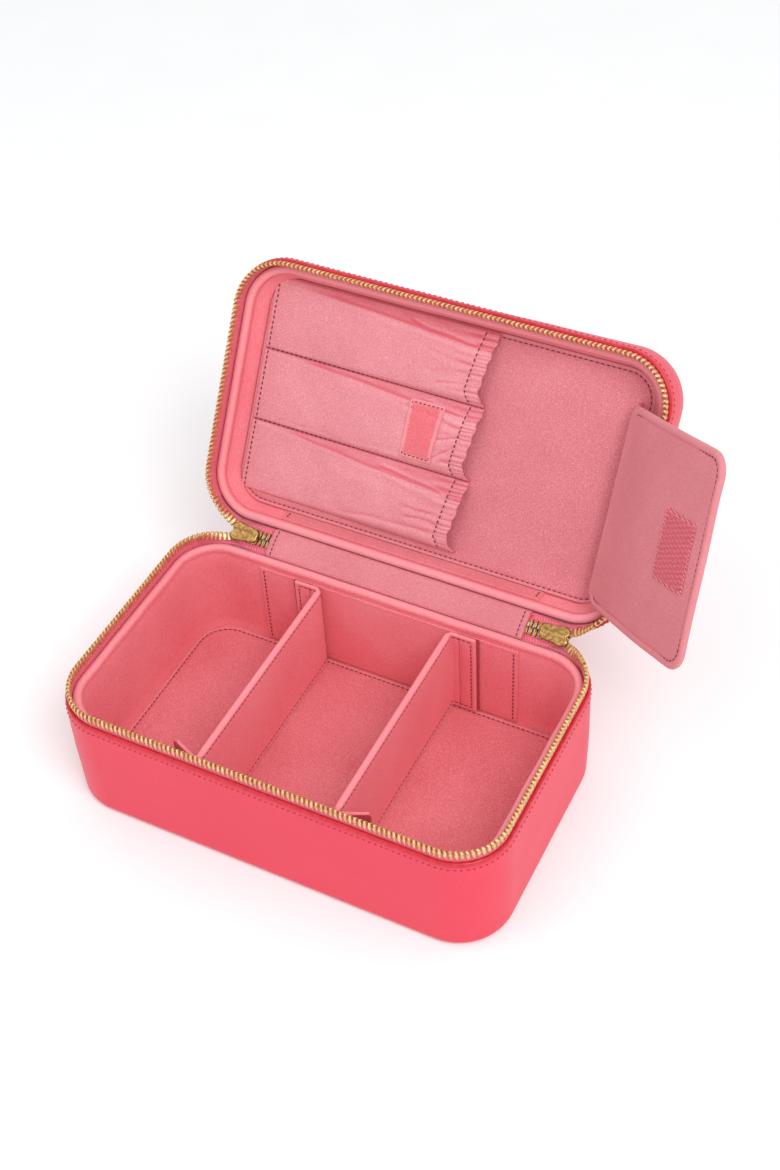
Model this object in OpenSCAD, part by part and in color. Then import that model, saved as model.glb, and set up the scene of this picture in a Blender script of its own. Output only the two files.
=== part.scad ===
// Zip-around makeup train case, lid open on its fabric hinge.
// Origin: centre of the base's underside. X along the length, -Y is the front, Z up. Millimetres.
// The lid, its pockets, the brush flap and the zip sliders are drawn closed, then turned open.

/* [Case] */
// Outer length of the case
case_w = 230; // [200:1:280]
// Outer depth of the case, front to back
case_d = 139; // [120:1:170]
// Outer corner radius in plan
corner_r = 27; // [24:1:32]
// Radius of the outer bottom and top edges
edge_r = 4; // [3.6:0.2:6]
// Height of the base's leather wall
base_h = 61; // [45:1:90]
// Height of the lid's leather wall
lid_h = 24; // [22:1:40]
// Angle of the open lid, from closed
lid_open = 121; // [60:1:125]
// Distance of the hinge line behind the back wall
hinge_back = 1; // [0.8:0.1:2]

/* [Walls] */
// Thickness of the outer leather
leather_t = 1.3; // [0.8:0.1:1.8]
// Thickness of the stiffener board
board_t = 1.6; // [1:0.1:2]
// Thickness of the padded lining on the walls
lining_t = 4.6; // [3:0.1:6]
// Thickness of the floor pad
pad_t = 1.8; // [1:0.1:4]
// Clearance between nested layers
fit = 0.1; // [0.05:0.05:0.2]
// Height of the padded rim roll above the base's leather edge
base_rim_rise = 1.2; // [0:0.1:3]
// Depth of the padded rim roll inside the lid's leather edge
lid_rim_drop = 1.3; // [0:0.1:3]
// Height of the edge binding
binding_h = 2.2; // [1:0.1:3]
// Thickness of the edge binding
binding_t = 1.7; // [1.4:0.1:2]

/* [Zip] */
// Height of the zip's centre above the base's leather edge
zip_gap_base = 8; // [7:0.1:12]
// Height of the lid's leather edge above the zip's centre
zip_gap_lid = 6.6; // [6.2:0.1:12]
// Spacing of the teeth along one tape
tooth_pitch = 2.4; // [2.2:0.1:4]
// Thickness of a tooth along the tape
tooth_t = 0.95; // [0.6:0.05:1]
// Width of a tooth across the tape
tooth_w = 2.8; // [2:0.1:3]
// Height of a tooth
tooth_h = 3; // [2:0.1:4]
// Overlap of the two rows when closed
tooth_mesh = 0.35; // [0.1:0.05:0.8]
// Thickness of the zip tape
tape_t = 0.9; // [0.5:0.1:1.2]
// Distance of the zip's centreline inside the outer face
zip_inset = 2.45; // [2.2:0.05:3]
// Distance of the hinge strip's ends inside the case's ends
hinge_side = 44; // [38:1:60]
// Thickness of each of the hinge strip's two layers
hinge_t = 1.2; // [0.8:0.1:1.2]
// Distance of the hinge strip's folds inside the outer face
fold_inset = 3.3; // [3.2:0.1:3.6]
// Distance of the zip's ends from the hinge strip
zip_end_gap = 23.5; // [22:0.5:30]
// Length of a zip slider
slider_l = 13.5; // [10:0.5:14]
// Half the width of a zip slider
slider_half = 5.2; // [4:0.1:5.4]
// Thickness of the slider's plates
slider_t = 1.2; // [0.8:0.1:1.4]
// Length of a slider's pull
pull_l = 24; // [12:1:40]
// Width of a slider's pull
pull_w = 4.6; // [3:0.1:5]
// Thickness of a slider's pull
pull_t = 1.2; // [0.8:0.1:1.6]

/* [Dividers] */
// Share of the inside length between the middle and a divider
divider_share = 0.335; // [0.25:0.005:0.45]
// Thickness of a divider
divider_t = 3; // [2.4:0.1:5]
// Distance of a divider's top below the edge of the base's leather
divider_drop = 7.5; // [7:0.5:26]
// Length of the folded ends of a divider
flange_l = 16; // [8:1:24]
// Thickness of the folded ends
flange_t = 1.4; // [1:0.1:2]
// Width of a hook strip
hook_w = 11; // [6:1:14]
// Thickness of hook and loop fabric
hook_t = 0.8; // [0.5:0.1:1]
// Clearance around a divider
divider_gap = 0.3; // [0.2:0.05:1]

/* [Lid pockets] */
// Thickness of the foam behind the pocket panel
foam_t = 5.2; // [2:0.1:8]
// Thickness of the pocket panel
panel_t = 2.4; // [1.6:0.1:4]
// Distance of the pockets' closed ends from the lining
pocket_side = 9; // [9:0.5:30]
// Share of the inside length that the pockets take
pocket_share = 0.56; // [0.4:0.01:0.58]
// Space above and below the pockets together
pocket_margin = 12; // [12:0.5:40]
// Space between two pockets
pocket_gap = 0.4; // [0.3:0.1:2]
// Depth of a pocket, off the panel
pocket_rise = 7.4; // [6:0.1:9]
// Thickness of the pocket fabric
pocket_t = 1; // [0.6:0.1:1.4]
// Width of the elastic at a pocket's mouth
elastic_w = 8.5; // [4:0.5:14]
// Thickness of the elastic band on the pocket
elastic_t = 0.5; // [0.3:0.1:0.8]
// Shift of the pockets away from the hinge
pocket_shift = 2.7; // [-2.7:0.1:2.7]
// Length of the loop patch along the pocket
loop_l = 16.5; // [8:0.5:30]
// Width of the loop patch across the pocket
loop_w = 26; // [10:1:30]
// Distance of the loop patch's middle from the pockets' mouths
loop_back = 28; // [20:1:60]

/* [Brush flap] */
// Distance of the flap's hinge line from the lining
flap_side = 10.8; // [10:0.1:16]
// Height of the flap's hinge line above the zip's centre
flap_z = 9.9; // [9.5:0.1:10]
// Share of the inside length that the flap covers
flap_share = 0.42; // [0.3:0.01:0.43]
// Space at the flap's two ends together
flap_margin = 25.6; // [25.6:0.5:60]
// Shift of the flap's middle towards the hinge strip
flap_shift = 4.5; // [-4.5:0.5:4.5]
// Thickness of the flap
flap_t = 2.6; // [2:0.1:3.4]
// Corner radius at the flap's free edge
flap_r = 12; // [5:1:20]
// Angle of the open flap, from lying on the pockets
flap_open = 133; // [90:1:133]
// Width of the rolled edge of the flap
flap_edge = 2.2; // [1.2:0.1:4]
// Length of the hook patch across the flap
flap_hook_l = 24; // [10:1:30]
// Width of the hook patch along the flap
flap_hook_w = 30; // [10:1:40]
// Distance of the hook patch's middle from the flap's free edge
flap_hook_in = 22; // [18:1:40]

/* [Hidden] */
$fn = 64;
board_i = leather_t + fit;
lining_i = board_i + board_t + fit;
inner_i = lining_i + lining_t;
roll_r = lining_t / 2;
base_floor_z = leather_t + board_t;
pad_top_z = base_floor_z + pad_t;
base_rim_z = base_h + base_rim_rise;
zip_z = base_h + zip_gap_base;
hinge_y = case_d / 2 + hinge_back;
lid_top = zip_gap_lid + lid_h;
lid_ceiling = lid_top - leather_t - board_t;
lid_rim_z = zip_gap_lid + lid_rim_drop;
panel_back_z = lid_ceiling - foam_t;
panel_z = panel_back_z - panel_t;
board_drop = 4;
base_slot_z = base_h - board_drop + fit;
lid_slot_z = zip_gap_lid + board_drop - fit;
tape_in = zip_inset - tape_t / 2;
tape_edge = tooth_h - tooth_mesh;
chain_y = -hinge_back - zip_inset;
inner_y = case_d / 2 - inner_i;
inner_x = case_w / 2 - inner_i;
hinge_half = case_w / 2 - hinge_side;
divider_x = inner_x * divider_share;
zip_x = hinge_half + zip_end_gap;
divider_h = base_h - divider_drop;
back_lining_t = 0.6;
back_lining_half = hinge_half + 1;
fold_y = -hinge_back - fold_inset;
fold_z = -fold_y / tan(lid_open / 4);
fold_gap = 0.9;
strip_drop = fold_z + 0.6;
slider_drop = fold_z + 2.2;
slider_x = zip_x - 0.6 - slider_l;
slider_in_y = chain_y - tooth_w / 2 - 0.35 - slider_t;
slider_out_y = chain_y + tooth_w / 2 + 0.35;
stub_x = hinge_half + 0.3;
stub_tape = 5;
stub_teeth = floor((slider_x - stub_x) / tooth_pitch);
bail_y = slider_out_y + slider_t + 2.2;
bail_r = 0.6;
bail_x0 = slider_x + 3;
bail_l = pull_w + 2.4;
pull_bore_r = bail_r + 0.25;
pull_eye_r = pull_bore_r + 0.7;
lid_middle_y = -hinge_back - case_d / 2;
pocket_y = lid_middle_y - pocket_shift;
pocket_x0 = pocket_side - inner_x;
pocket_x1 = pocket_x0 + 2 * inner_x * pocket_share;
pocket_pitch = (2 * inner_y - pocket_margin) / 3;
pocket_w = pocket_pitch - pocket_gap;
loop_x = pocket_x1 - loop_back;
flap_x = inner_x - flap_side;
flap_y = lid_middle_y + flap_shift;
flap_w = 2 * inner_x * flap_share;
flap_len = 2 * inner_y - flap_margin;
flap_hook_s = flap_w - flap_hook_in;
flap_root_t = 2;
flap_roll_r = flap_t / 2;
flap_gap = 0.3;

// ---- frames -------------------------------------------------------------

// The lid turns about one line when both folds of the hinge strip open by the same angle.
// In the lid's frame z is 0 at the zip's centre and y is 0 on that line.
module in_lid() {
    translate([0, hinge_y, zip_z]) rotate([-lid_open, 0, 0]) children();
}

// Children in the lid's frame, centred on the case in y.
module in_lid_centred() {
    in_lid() translate([0, lid_middle_y, 0]) children();
}

// The hinge strip turns about its lower fold, by half of the lid's angle.
module in_strip() {
    translate([0, hinge_y + fold_y, zip_z - fold_z]) rotate([-lid_open / 2, 0, 0])
        translate([0, -fold_y, fold_z]) children();
}

// The flap lies along +x of this frame, its hook side facing -z.
module in_flap() {
    in_lid() translate([flap_x, flap_y, flap_z]) rotate([0, 180 - flap_open, 0]) children();
}

// ---- shapes -------------------------------------------------------------

// Rounded rectangle, made of true arcs.
module rounded(w, d, r) {
    square([w - 2 * r, d], center = true);
    square([w, d - 2 * r], center = true);
    for (x = [-1, 1], y = [-1, 1]) translate([x * (w / 2 - r), y * (d / 2 - r)]) circle(r);
}

// Plan of the case, inset from the outer face.
module plan(inset) {
    rounded(case_w - 2 * inset, case_d - 2 * inset, corner_r - inset);
}

// Upright ring between two insets.
module band(i0, i1, z0, z1) {
    translate([0, 0, z0]) linear_extrude(z1 - z0) difference() {
        plan(i0);
        plan(i1);
    }
}

// The same ring, left open at the back as far as half on each side.
module open_band(i0, i1, z0, z1, half) {
    translate([0, 0, z0]) linear_extrude(z1 - z0) difference() {
        plan(i0);
        plan(i1);
        translate([-half, 0]) square([2 * half, case_d]);
    }
}

// Side view of a box with two rounded lower corners.
module tray_profile(w, h, r) {
    translate([-w / 2, r]) square([w, h - r]);
    translate([-w / 2 + r, 0]) square([w - 2 * r, h]);
    for (x = [-1, 1]) translate([x * (w / 2 - r), r]) circle(r);
}

// Box of the case's plan at an inset, its lower edge rounded.
module tray(inset, h) {
    w = case_w - 2 * inset;
    d = case_d - 2 * inset;
    cr = corner_r - inset;
    er = max(edge_r - inset, 0.4);
    for (x = [-1, 1], y = [-1, 1]) translate([x * (w / 2 - cr), y * (d / 2 - cr), 0])
        rotate_extrude() intersection() {
            tray_profile(2 * cr, h, er);
            square([cr, h]);
        }
    translate([-(w / 2 - cr), 0, 0]) rotate([90, 0, 90])
        linear_extrude(w - 2 * cr) tray_profile(d, h, er);
    translate([0, d / 2 - cr, 0]) rotate([90, 0, 0])
        linear_extrude(d - 2 * cr) tray_profile(w, h, er);
}

// Round roll that follows the plan at an inset.
module roll(inset, r) {
    w = case_w - 2 * inset;
    d = case_d - 2 * inset;
    cr = corner_r - inset;
    for (a = [0, 90, 180, 270]) {
        across = a % 180 == 0 ? w : d;
        along = a % 180 == 0 ? d : w;
        rotate([0, 0, a]) {
            translate([across / 2 - cr, along / 2 - cr, 0])
                rotate_extrude(angle = 90) translate([cr, 0]) circle(r);
            translate([across / 2, cr - along / 2, 0]) rotate([-90, 0, 0])
                cylinder(r = r, h = along - 2 * cr);
        }
    }
}

// Shell of one tray: outer form at one inset, hollow at another, floor_t thick.
module tray_shell(inset, wall_t, floor_t, h) {
    difference() {
        tray(inset, h);
        translate([0, 0, floor_t]) tray(inset + wall_t, h);
    }
}

// Length along the plan at the zip's inset, from the middle of the front to the back's zip end.
path_w = case_w - 2 * zip_inset;
path_d = case_d - 2 * zip_inset;
path_r = corner_r - zip_inset;
front_half = path_w / 2 - path_r;
arc_l = PI * path_r / 2;
side_l = path_d - 2 * path_r;
back_turn = asin((zip_x + tooth_t - front_half) / path_r);
half_path = front_half + arc_l + side_l + PI * path_r * (90 - back_turn) / 180;

// Place [x, y, direction] of a point at distance s from the middle of the front, going right.
function zip_at(s) =
    s < front_half ? [s, -path_d / 2, 0] :
    s < front_half + arc_l ?
        let (a = (s - front_half) / path_r * 180 / PI)
        [front_half + path_r * sin(a), -path_d / 2 + path_r * (1 - cos(a)), a] :
    s < front_half + arc_l + side_l ?
        [path_w / 2, -path_d / 2 + path_r + s - front_half - arc_l, 90] :
        let (a = (s - front_half - arc_l - side_l) / path_r * 180 / PI)
        [front_half + path_r * cos(a), path_d / 2 - path_r + path_r * sin(a), 90 + a];

// Plan of one row of teeth. The other row is shifted by half a pitch.
module teeth_plan(shift) {
    count = floor(half_path / tooth_pitch);
    for (side = [-1, 1], i = [0 : count - 1]) {
        s = (i + 0.5) * tooth_pitch + side * shift;
        p = zip_at(s);
        if (s > 0 && s < half_path)
            mirror([side < 0 ? 1 : 0, 0]) translate([p[0], p[1]]) rotate(p[2])
                square([tooth_t, tooth_w], center = true);
    }
}

// ---- base ---------------------------------------------------------------

// Cuts the back wall's edge down where the hinge strip and the sliders fold over it.
module edge_notch(h, strip_z, slider_z) {
    for (cut = [[hinge_half + 0.5, strip_z], [zip_x, slider_z]])
        translate([-cut[0], case_d / 2 - fold_inset, min(h, cut[1])])
            cube([2 * cut[0], case_d, h]);
}

module base_leather_shell() {
    color([0.96, 0.38, 0.45]) difference() {
        tray_shell(0, leather_t, leather_t, base_h);
        edge_notch(base_h + 1, zip_z - strip_drop, zip_z - slider_drop);
    }
}

module base_stiffener() {
    color([0.72, 0.62, 0.5]) translate([0, 0, leather_t])
        tray_shell(board_i, board_t, board_t, base_h - board_drop - leather_t);
}

module base_lining_wall() {
    color([0.9, 0.5, 0.54]) translate([0, 0, base_floor_z]) difference() {
        tray(lining_i, base_rim_z - 2 * roll_r - base_floor_z);
        translate([0, 0, -1]) linear_extrude(base_h) plan(inner_i);
    }
}

module base_rim_roll() {
    color([0.95, 0.58, 0.62]) translate([0, 0, base_rim_z - roll_r])
        roll(lining_i + roll_r, roll_r);
}

module base_floor_pad() {
    color([0.91, 0.48, 0.53]) translate([0, 0, base_floor_z])
        linear_extrude(pad_t) plan(inner_i + fit);
}

module base_back_lining() {
    color([0.9, 0.5, 0.54])
        translate([-back_lining_half, inner_y - back_lining_t, pad_top_z])
            cube([2 * back_lining_half, back_lining_t, base_rim_z - 2 * roll_r - pad_top_z]);
}

module base_edge_binding() {
    color([0.86, 0.12, 0.2])
        open_band(0.2, 0.2 + binding_t, base_h, base_h + binding_h, zip_x);
}

module base_zip_tape() {
    color([0.93, 0.31, 0.45])
        open_band(tape_in, tape_in + tape_t, base_slot_z, zip_z - tape_edge, zip_x);
}

module base_zip_teeth() {
    color([0.83, 0.72, 0.47]) translate([0, 0, zip_z - tape_edge])
        linear_extrude(tooth_h) teeth_plan(0);
}

// ---- hinge strip --------------------------------------------------------

module hinge_layer(y0) {
    in_strip() translate([-hinge_half, y0, fold_gap - fold_z])
        cube([2 * hinge_half, hinge_t, 2 * (fold_z - fold_gap)]);
}

module hinge_leather() {
    color([0.96, 0.38, 0.45]) hinge_layer(fold_y);
}

module hinge_lining() {
    color([0.9, 0.5, 0.54]) hinge_layer(fold_y - hinge_t);
}

// ---- lid ----------------------------------------------------------------

// Turns a tray over, its floor on top of the lid at a distance below it.
module under_lid_top(drop) {
    in_lid_centred() translate([0, 0, lid_top - drop]) mirror([0, 0, 1]) children();
}

module lid_leather_shell() {
    color([0.96, 0.38, 0.45]) under_lid_top(0) difference() {
        tray_shell(0, leather_t, leather_t, lid_h);
        edge_notch(lid_h + 1, lid_top - strip_drop, lid_top - slider_drop);
    }
}

module lid_stiffener() {
    color([0.72, 0.62, 0.5]) under_lid_top(leather_t)
        tray_shell(board_i, board_t, board_t, lid_h - board_drop - leather_t);
}

module lid_foam() {
    color([0.93, 0.9, 0.82]) in_lid_centred() translate([0, 0, panel_back_z])
        linear_extrude(foam_t) plan(inner_i + fit);
}

module lid_lining_wall() {
    wall_h = lid_ceiling - lid_rim_z - 2 * roll_r;
    color([0.9, 0.5, 0.54]) under_lid_top(leather_t + board_t) difference() {
        tray(lining_i, wall_h);
        translate([0, 0, -1]) linear_extrude(wall_h + 2) plan(inner_i);
    }
}

module lid_rim_roll() {
    color([0.95, 0.58, 0.62]) in_lid_centred() translate([0, 0, lid_rim_z + roll_r])
        roll(lining_i + roll_r, roll_r);
}

module lid_back_lining() {
    color([0.9, 0.5, 0.54]) in_lid_centred()
        translate([-back_lining_half, inner_y - back_lining_t, lid_rim_z + 2 * roll_r])
            cube([2 * back_lining_half, back_lining_t, panel_z - lid_rim_z - 2 * roll_r]);
}

module lid_edge_binding() {
    color([0.86, 0.12, 0.2]) in_lid_centred()
        open_band(0.2, 0.2 + binding_t, zip_gap_lid - binding_h, zip_gap_lid, zip_x);
}

module lid_zip_tape() {
    color([0.93, 0.31, 0.45]) in_lid_centred()
        open_band(tape_in, tape_in + tape_t, tape_edge, lid_slot_z, zip_x);
}

module lid_zip_teeth() {
    color([0.83, 0.72, 0.47]) in_lid_centred() translate([0, 0, -tooth_mesh])
        linear_extrude(tooth_h) teeth_plan(tooth_pitch / 2);
}

module pocket_panel() {
    color([0.91, 0.5, 0.55]) in_lid_centred() translate([0, 0, panel_z])
        linear_extrude(panel_t) plan(inner_i + fit);
}

// Fabric sleeve on the panel, open at its right-hand end.
module brush_pocket(row) {
    color([0.93, 0.53, 0.57]) in_lid()
        translate([pocket_x0, pocket_y + row * pocket_pitch - pocket_w / 2, panel_z - pocket_rise])
            difference() {
                cube([pocket_x1 - pocket_x0, pocket_w, pocket_rise]);
                translate([pocket_t, pocket_t, pocket_t])
                    cube([pocket_x1 - pocket_x0, pocket_w - 2 * pocket_t, pocket_rise]);
            }
}

module brush_pocket_front() {
    brush_pocket(-1);
}

module brush_pocket_middle() {
    brush_pocket(0);
}

module brush_pocket_back() {
    brush_pocket(1);
}

module pocket_elastics() {
    color([0.88, 0.45, 0.5]) in_lid() for (row = [-1 : 1])
        translate([pocket_x1 - elastic_w, pocket_y + row * pocket_pitch - pocket_w / 2,
                   panel_z - pocket_rise - elastic_t])
            cube([elastic_w, pocket_w, elastic_t]);
}

module loop_patch() {
    color([0.9, 0.36, 0.42]) in_lid()
        translate([loop_x - loop_l / 2, pocket_y - loop_w / 2, panel_z - pocket_rise - hook_t])
            cube([loop_l, loop_w, hook_t]);
}

// Strip that stands on the panel and carries the flap's fold.
module flap_root() {
    top = flap_z + flap_roll_r + flap_gap;
    color([0.86, 0.5, 0.54]) in_lid()
        translate([flap_x - flap_root_t / 2, flap_y - flap_len / 2, top])
            cube([flap_root_t, flap_len, panel_z - top]);
}

// ---- brush flap ---------------------------------------------------------

// Plan of the flap, inset at its three free sides.
module flap_plan(inset) {
    r = flap_r - inset;
    w = flap_w - inset;
    l = flap_len - 2 * inset;
    x0 = flap_roll_r + fit;
    translate([x0, -l / 2]) square([w - r - x0, l]);
    translate([x0, -l / 2 + r]) square([w - x0, l - 2 * r]);
    for (y = [-1, 1]) translate([w - r, y * (l / 2 - r)]) circle(r);
}

module flap_roll() {
    color([0.84, 0.5, 0.54]) in_flap() rotate([90, 0, 0])
        cylinder(r = flap_roll_r, h = flap_len, center = true);
}

module flap_slab(inset, t) {
    translate([0, 0, -t / 2]) linear_extrude(t) flap_plan(inset);
}

flap_board_t = 1.1;

module flap_cover() {
    cover_i = flap_edge + fit;
    color([0.83, 0.49, 0.52]) in_flap() difference() {
        flap_slab(cover_i, flap_t);
        intersection() {
            flap_slab(cover_i + 2, flap_board_t + 2 * fit);
            translate([flap_roll_r + 2, -flap_len, -flap_t])
                cube([flap_w, 2 * flap_len, 2 * flap_t]);
        }
    }
}

module flap_board() {
    color([0.72, 0.62, 0.5]) in_flap() intersection() {
        flap_slab(flap_edge + 2 + 2 * fit, flap_board_t);
        translate([flap_roll_r + 2 + fit, -flap_len, -flap_t])
            cube([flap_w, 2 * flap_len, 2 * flap_t]);
    }
}

module flap_edging() {
    color([0.92, 0.56, 0.6]) in_flap() translate([0, 0, -flap_t / 2]) linear_extrude(flap_t)
        difference() {
            flap_plan(0);
            flap_plan(flap_edge);
        }
}

module flap_hook_patch() {
    color([0.85, 0.33, 0.4]) in_flap()
        translate([flap_hook_s - flap_hook_l / 2, -flap_hook_w / 2, -flap_t / 2 - hook_t])
            cube([flap_hook_l, flap_hook_w, hook_t]);
}

// ---- dividers -----------------------------------------------------------

divider_y0 = -inner_y + divider_gap + hook_t;
divider_y1 = inner_y - back_lining_t - divider_gap - hook_t;
divider_z = pad_top_z + divider_gap;
divider_skin = 0.7;

// Drawn at the middle with the folded ends towards +x, then put in place.
module divider_place(side) {
    translate([side * divider_x, 0, divider_z]) mirror([side < 0 ? 1 : 0, 0, 0]) children();
}

module divider_core(grow) {
    t = divider_t - 2 * divider_skin + 2 * grow;
    translate([-t / 2, divider_y0 + flange_t + 1 - grow, divider_skin - grow])
        cube([t, divider_y1 - divider_y0 - 2 * flange_t - 2 + 2 * grow,
              divider_h - 2 * divider_skin + 2 * grow]);
}

module divider_cover(side) {
    color([0.91, 0.52, 0.56]) divider_place(side) difference() {
        union() {
            translate([-divider_t / 2, divider_y0, 0])
                cube([divider_t, divider_y1 - divider_y0, divider_h]);
            for (y = [divider_y0, divider_y1 - flange_t]) translate([0, y, 0])
                cube([flange_l, flange_t, divider_h]);
        }
        divider_core(0);
    }
}

module divider_board(side) {
    color([0.72, 0.62, 0.5]) divider_place(side) divider_core(-fit);
}

module divider_hooks(side) {
    color([0.85, 0.2, 0.28]) divider_place(side)
        for (y = [divider_y0 - hook_t, divider_y1]) translate([flange_l - hook_w, y, 0])
            cube([hook_w, hook_t, divider_h]);
}

module divider_left_cover() {
    divider_cover(-1);
}

module divider_left_board() {
    divider_board(-1);
}

module divider_left_hooks() {
    divider_hooks(-1);
}

module divider_right_cover() {
    divider_cover(1);
}

module divider_right_board() {
    divider_board(1);
}

module divider_right_hooks() {
    divider_hooks(1);
}

// ---- zip sliders --------------------------------------------------------

lobe_r = 3.1;
tail_half = slider_half - 1;
flange_inner_z = tooth_h - tooth_mesh + 0.35;

module slider_place(side) {
    in_strip() mirror([side < 0 ? 1 : 0, 0, 0]) children();
}

// Plate of a slider: two lobes at the end where the rows part, a straight tail.
module slider_plate(y0) {
    lobe_x = slider_x + slider_l - lobe_r;
    translate([0, y0 + slider_t, 0]) rotate([90, 0, 0]) linear_extrude(slider_t) {
        for (z = [-1, 1]) translate([lobe_x, z * (slider_half - lobe_r)]) circle(lobe_r);
        translate([lobe_x - lobe_r, -slider_half + lobe_r / 2])
            square([2 * lobe_r - 0.5, 2 * slider_half - lobe_r]);
        translate([slider_x, -tail_half]) square([slider_l - lobe_r, 2 * tail_half]);
    }
}

module slider_body(side) {
    lip = (slider_out_y - slider_in_y - slider_t - tape_t) / 2 - 0.3;
    lip_x = slider_x;
    color([0.74, 0.62, 0.36]) slider_place(side) {
        slider_plate(slider_in_y);
        slider_plate(slider_out_y);
        translate([slider_x + slider_l - 2.2, slider_out_y + 0.1, 0]) rotate([90, 0, 0])
            cylinder(r = 1, h = slider_out_y - slider_in_y - slider_t + 0.2);
        for (z = [-tail_half, flange_inner_z]) {
            translate([lip_x, slider_in_y + slider_t - 0.1, z])
                cube([slider_l - 2 * lobe_r, lip + 0.1, tail_half - flange_inner_z]);
            translate([lip_x, slider_out_y - lip, z])
                cube([slider_l - 2 * lobe_r, lip + 0.1, tail_half - flange_inner_z]);
        }
        for (x = [bail_x0, bail_x0 + bail_l - 1])
            translate([x, slider_out_y + slider_t - 0.1, -bail_r])
                cube([1, bail_y + bail_r - slider_out_y - slider_t + 0.1, 2 * bail_r]);
        translate([bail_x0 + 0.5, bail_y, 0]) rotate([0, 90, 0])
            cylinder(r = bail_r, h = bail_l - 1);
    }
}

// The last teeth, meshed, between the slider and the hinge band.
module slider_chain(side) {
    color([0.83, 0.72, 0.47]) slider_place(side) {
        for (i = [0 : 2 * stub_teeth - 1])
            translate([stub_x + i * tooth_pitch / 2, chain_y - tooth_w / 2,
                       i % 2 == 0 ? -tape_edge : -tooth_mesh])
                cube([tooth_t, tooth_w, tooth_h]);
        for (z = [-tape_edge - 1, tape_edge])
            translate([hinge_half, chain_y - tape_t / 2, z])
                cube([slider_x + stub_tape - hinge_half, tape_t, 1]);
    }
}

// Hangs straight down from the bail when the lid is open.
module slider_pull(side) {
    x0 = bail_x0 + bail_l / 2;
    color([0.78, 0.66, 0.4]) slider_place(side)
        translate([x0, bail_y, 0]) rotate([lid_open / 2, 0, 0]) difference() {
            union() {
                rotate([0, 90, 0]) cylinder(r = pull_eye_r, h = pull_w, center = true);
                translate([-pull_w / 2, -pull_t / 2, -pull_l + pull_w / 2])
                    cube([pull_w, pull_t, pull_l - pull_w / 2]);
                translate([0, 0, -pull_l + pull_w / 2]) rotate([90, 0, 0])
                    cylinder(r = pull_w / 2, h = pull_t, center = true);
            }
            rotate([0, 90, 0]) cylinder(r = pull_bore_r, h = pull_w + 1, center = true);
            translate([0, 0, -pull_l + pull_w / 2]) rotate([90, 0, 0])
                cylinder(r = pull_w / 4, h = pull_t + 1, center = true);
        }
}

module slider_left_body() {
    slider_body(-1);
}

module slider_left_chain() {
    slider_chain(-1);
}

module slider_left_pull() {
    slider_pull(-1);
}

module slider_right_body() {
    slider_body(1);
}

module slider_right_chain() {
    slider_chain(1);
}

module slider_right_pull() {
    slider_pull(1);
}

base_leather_shell();
base_stiffener();
base_lining_wall();
base_rim_roll();
base_floor_pad();
base_back_lining();
base_edge_binding();
base_zip_tape();
base_zip_teeth();
hinge_leather();
hinge_lining();
lid_leather_shell();
lid_stiffener();
lid_foam();
lid_lining_wall();
lid_rim_roll();
lid_back_lining();
lid_edge_binding();
lid_zip_tape();
lid_zip_teeth();
pocket_panel();
brush_pocket_front();
brush_pocket_middle();
brush_pocket_back();
pocket_elastics();
loop_patch();
flap_root();
flap_roll();
flap_cover();
flap_board();
flap_edging();
flap_hook_patch();
divider_left_cover();
divider_left_board();
divider_left_hooks();
divider_right_cover();
divider_right_board();
divider_right_hooks();
slider_left_body();
slider_left_chain();
slider_left_pull();
slider_right_body();
slider_right_chain();
slider_right_pull();
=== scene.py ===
import math
import bpy
import numpy as np
from mathutils import Matrix, Vector


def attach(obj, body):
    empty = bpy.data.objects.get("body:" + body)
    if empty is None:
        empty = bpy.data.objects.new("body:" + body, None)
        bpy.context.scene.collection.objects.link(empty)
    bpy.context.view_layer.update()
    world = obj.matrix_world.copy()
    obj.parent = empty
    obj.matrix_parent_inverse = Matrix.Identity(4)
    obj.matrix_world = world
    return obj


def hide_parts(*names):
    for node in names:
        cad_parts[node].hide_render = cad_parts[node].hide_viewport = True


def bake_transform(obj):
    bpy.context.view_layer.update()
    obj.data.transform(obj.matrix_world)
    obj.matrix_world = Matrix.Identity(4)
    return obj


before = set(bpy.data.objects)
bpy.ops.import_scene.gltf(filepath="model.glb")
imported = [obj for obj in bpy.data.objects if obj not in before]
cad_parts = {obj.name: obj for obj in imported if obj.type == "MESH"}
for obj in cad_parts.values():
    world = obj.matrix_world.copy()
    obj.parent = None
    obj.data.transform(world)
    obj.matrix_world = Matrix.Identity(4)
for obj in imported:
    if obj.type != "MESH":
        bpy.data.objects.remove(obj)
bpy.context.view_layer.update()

MM = 0.001

# ---- sizes, in millimetres ----------------------------------------------

CASE_W, CASE_D, CORNER = 230.0, 139.0, 27.0
BASE_H, LID_EDGE, LID_TOP = 61.0, 75.6, 99.6
# a tray's flat is swept this far in from the walls, and its middle is filled
FLAT_W, LEATHER_T, PAINT_H = 23.0, 1.5, 2.2
ZIP_Z, ZIP_INSET, TOOTH_PITCH, TOOTH_DROP = 69.0, 2.45, 2.4, 2.65
# with the case closed: x of a slider and of its pull, then y from the hinge line
SLIDER_X, PULL_X = 80.4, 86.9
CHAIN_Y, SLIDER_IN, SLIDER_OUT, PULL_Y = -3.45, -5.2, -1.7, 1.7
LID_ANGLE, STRIP_ANGLE = math.radians(121), math.radians(60.5)
# (y, z) of the lines that the lid and the hinge strip are turned open about
LID_PIVOT, FOLD_LOW = (70.5, ZIP_Z), (66.2, 61.627)
STRIP_HALF, STRIP_W = 7.37, 142.6
PANEL_Z = 89.1
# x of the pockets' closed ends and mouths, y of the middle one, and the gathered part's length
POCKET_X0, POCKET_X1 = -98.3, 21.9
POCKET_Y, POCKET_PITCH = -2.7, 37.2
POCKET_L, ELASTIC = POCKET_X1 - POCKET_X0, 7.2
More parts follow.
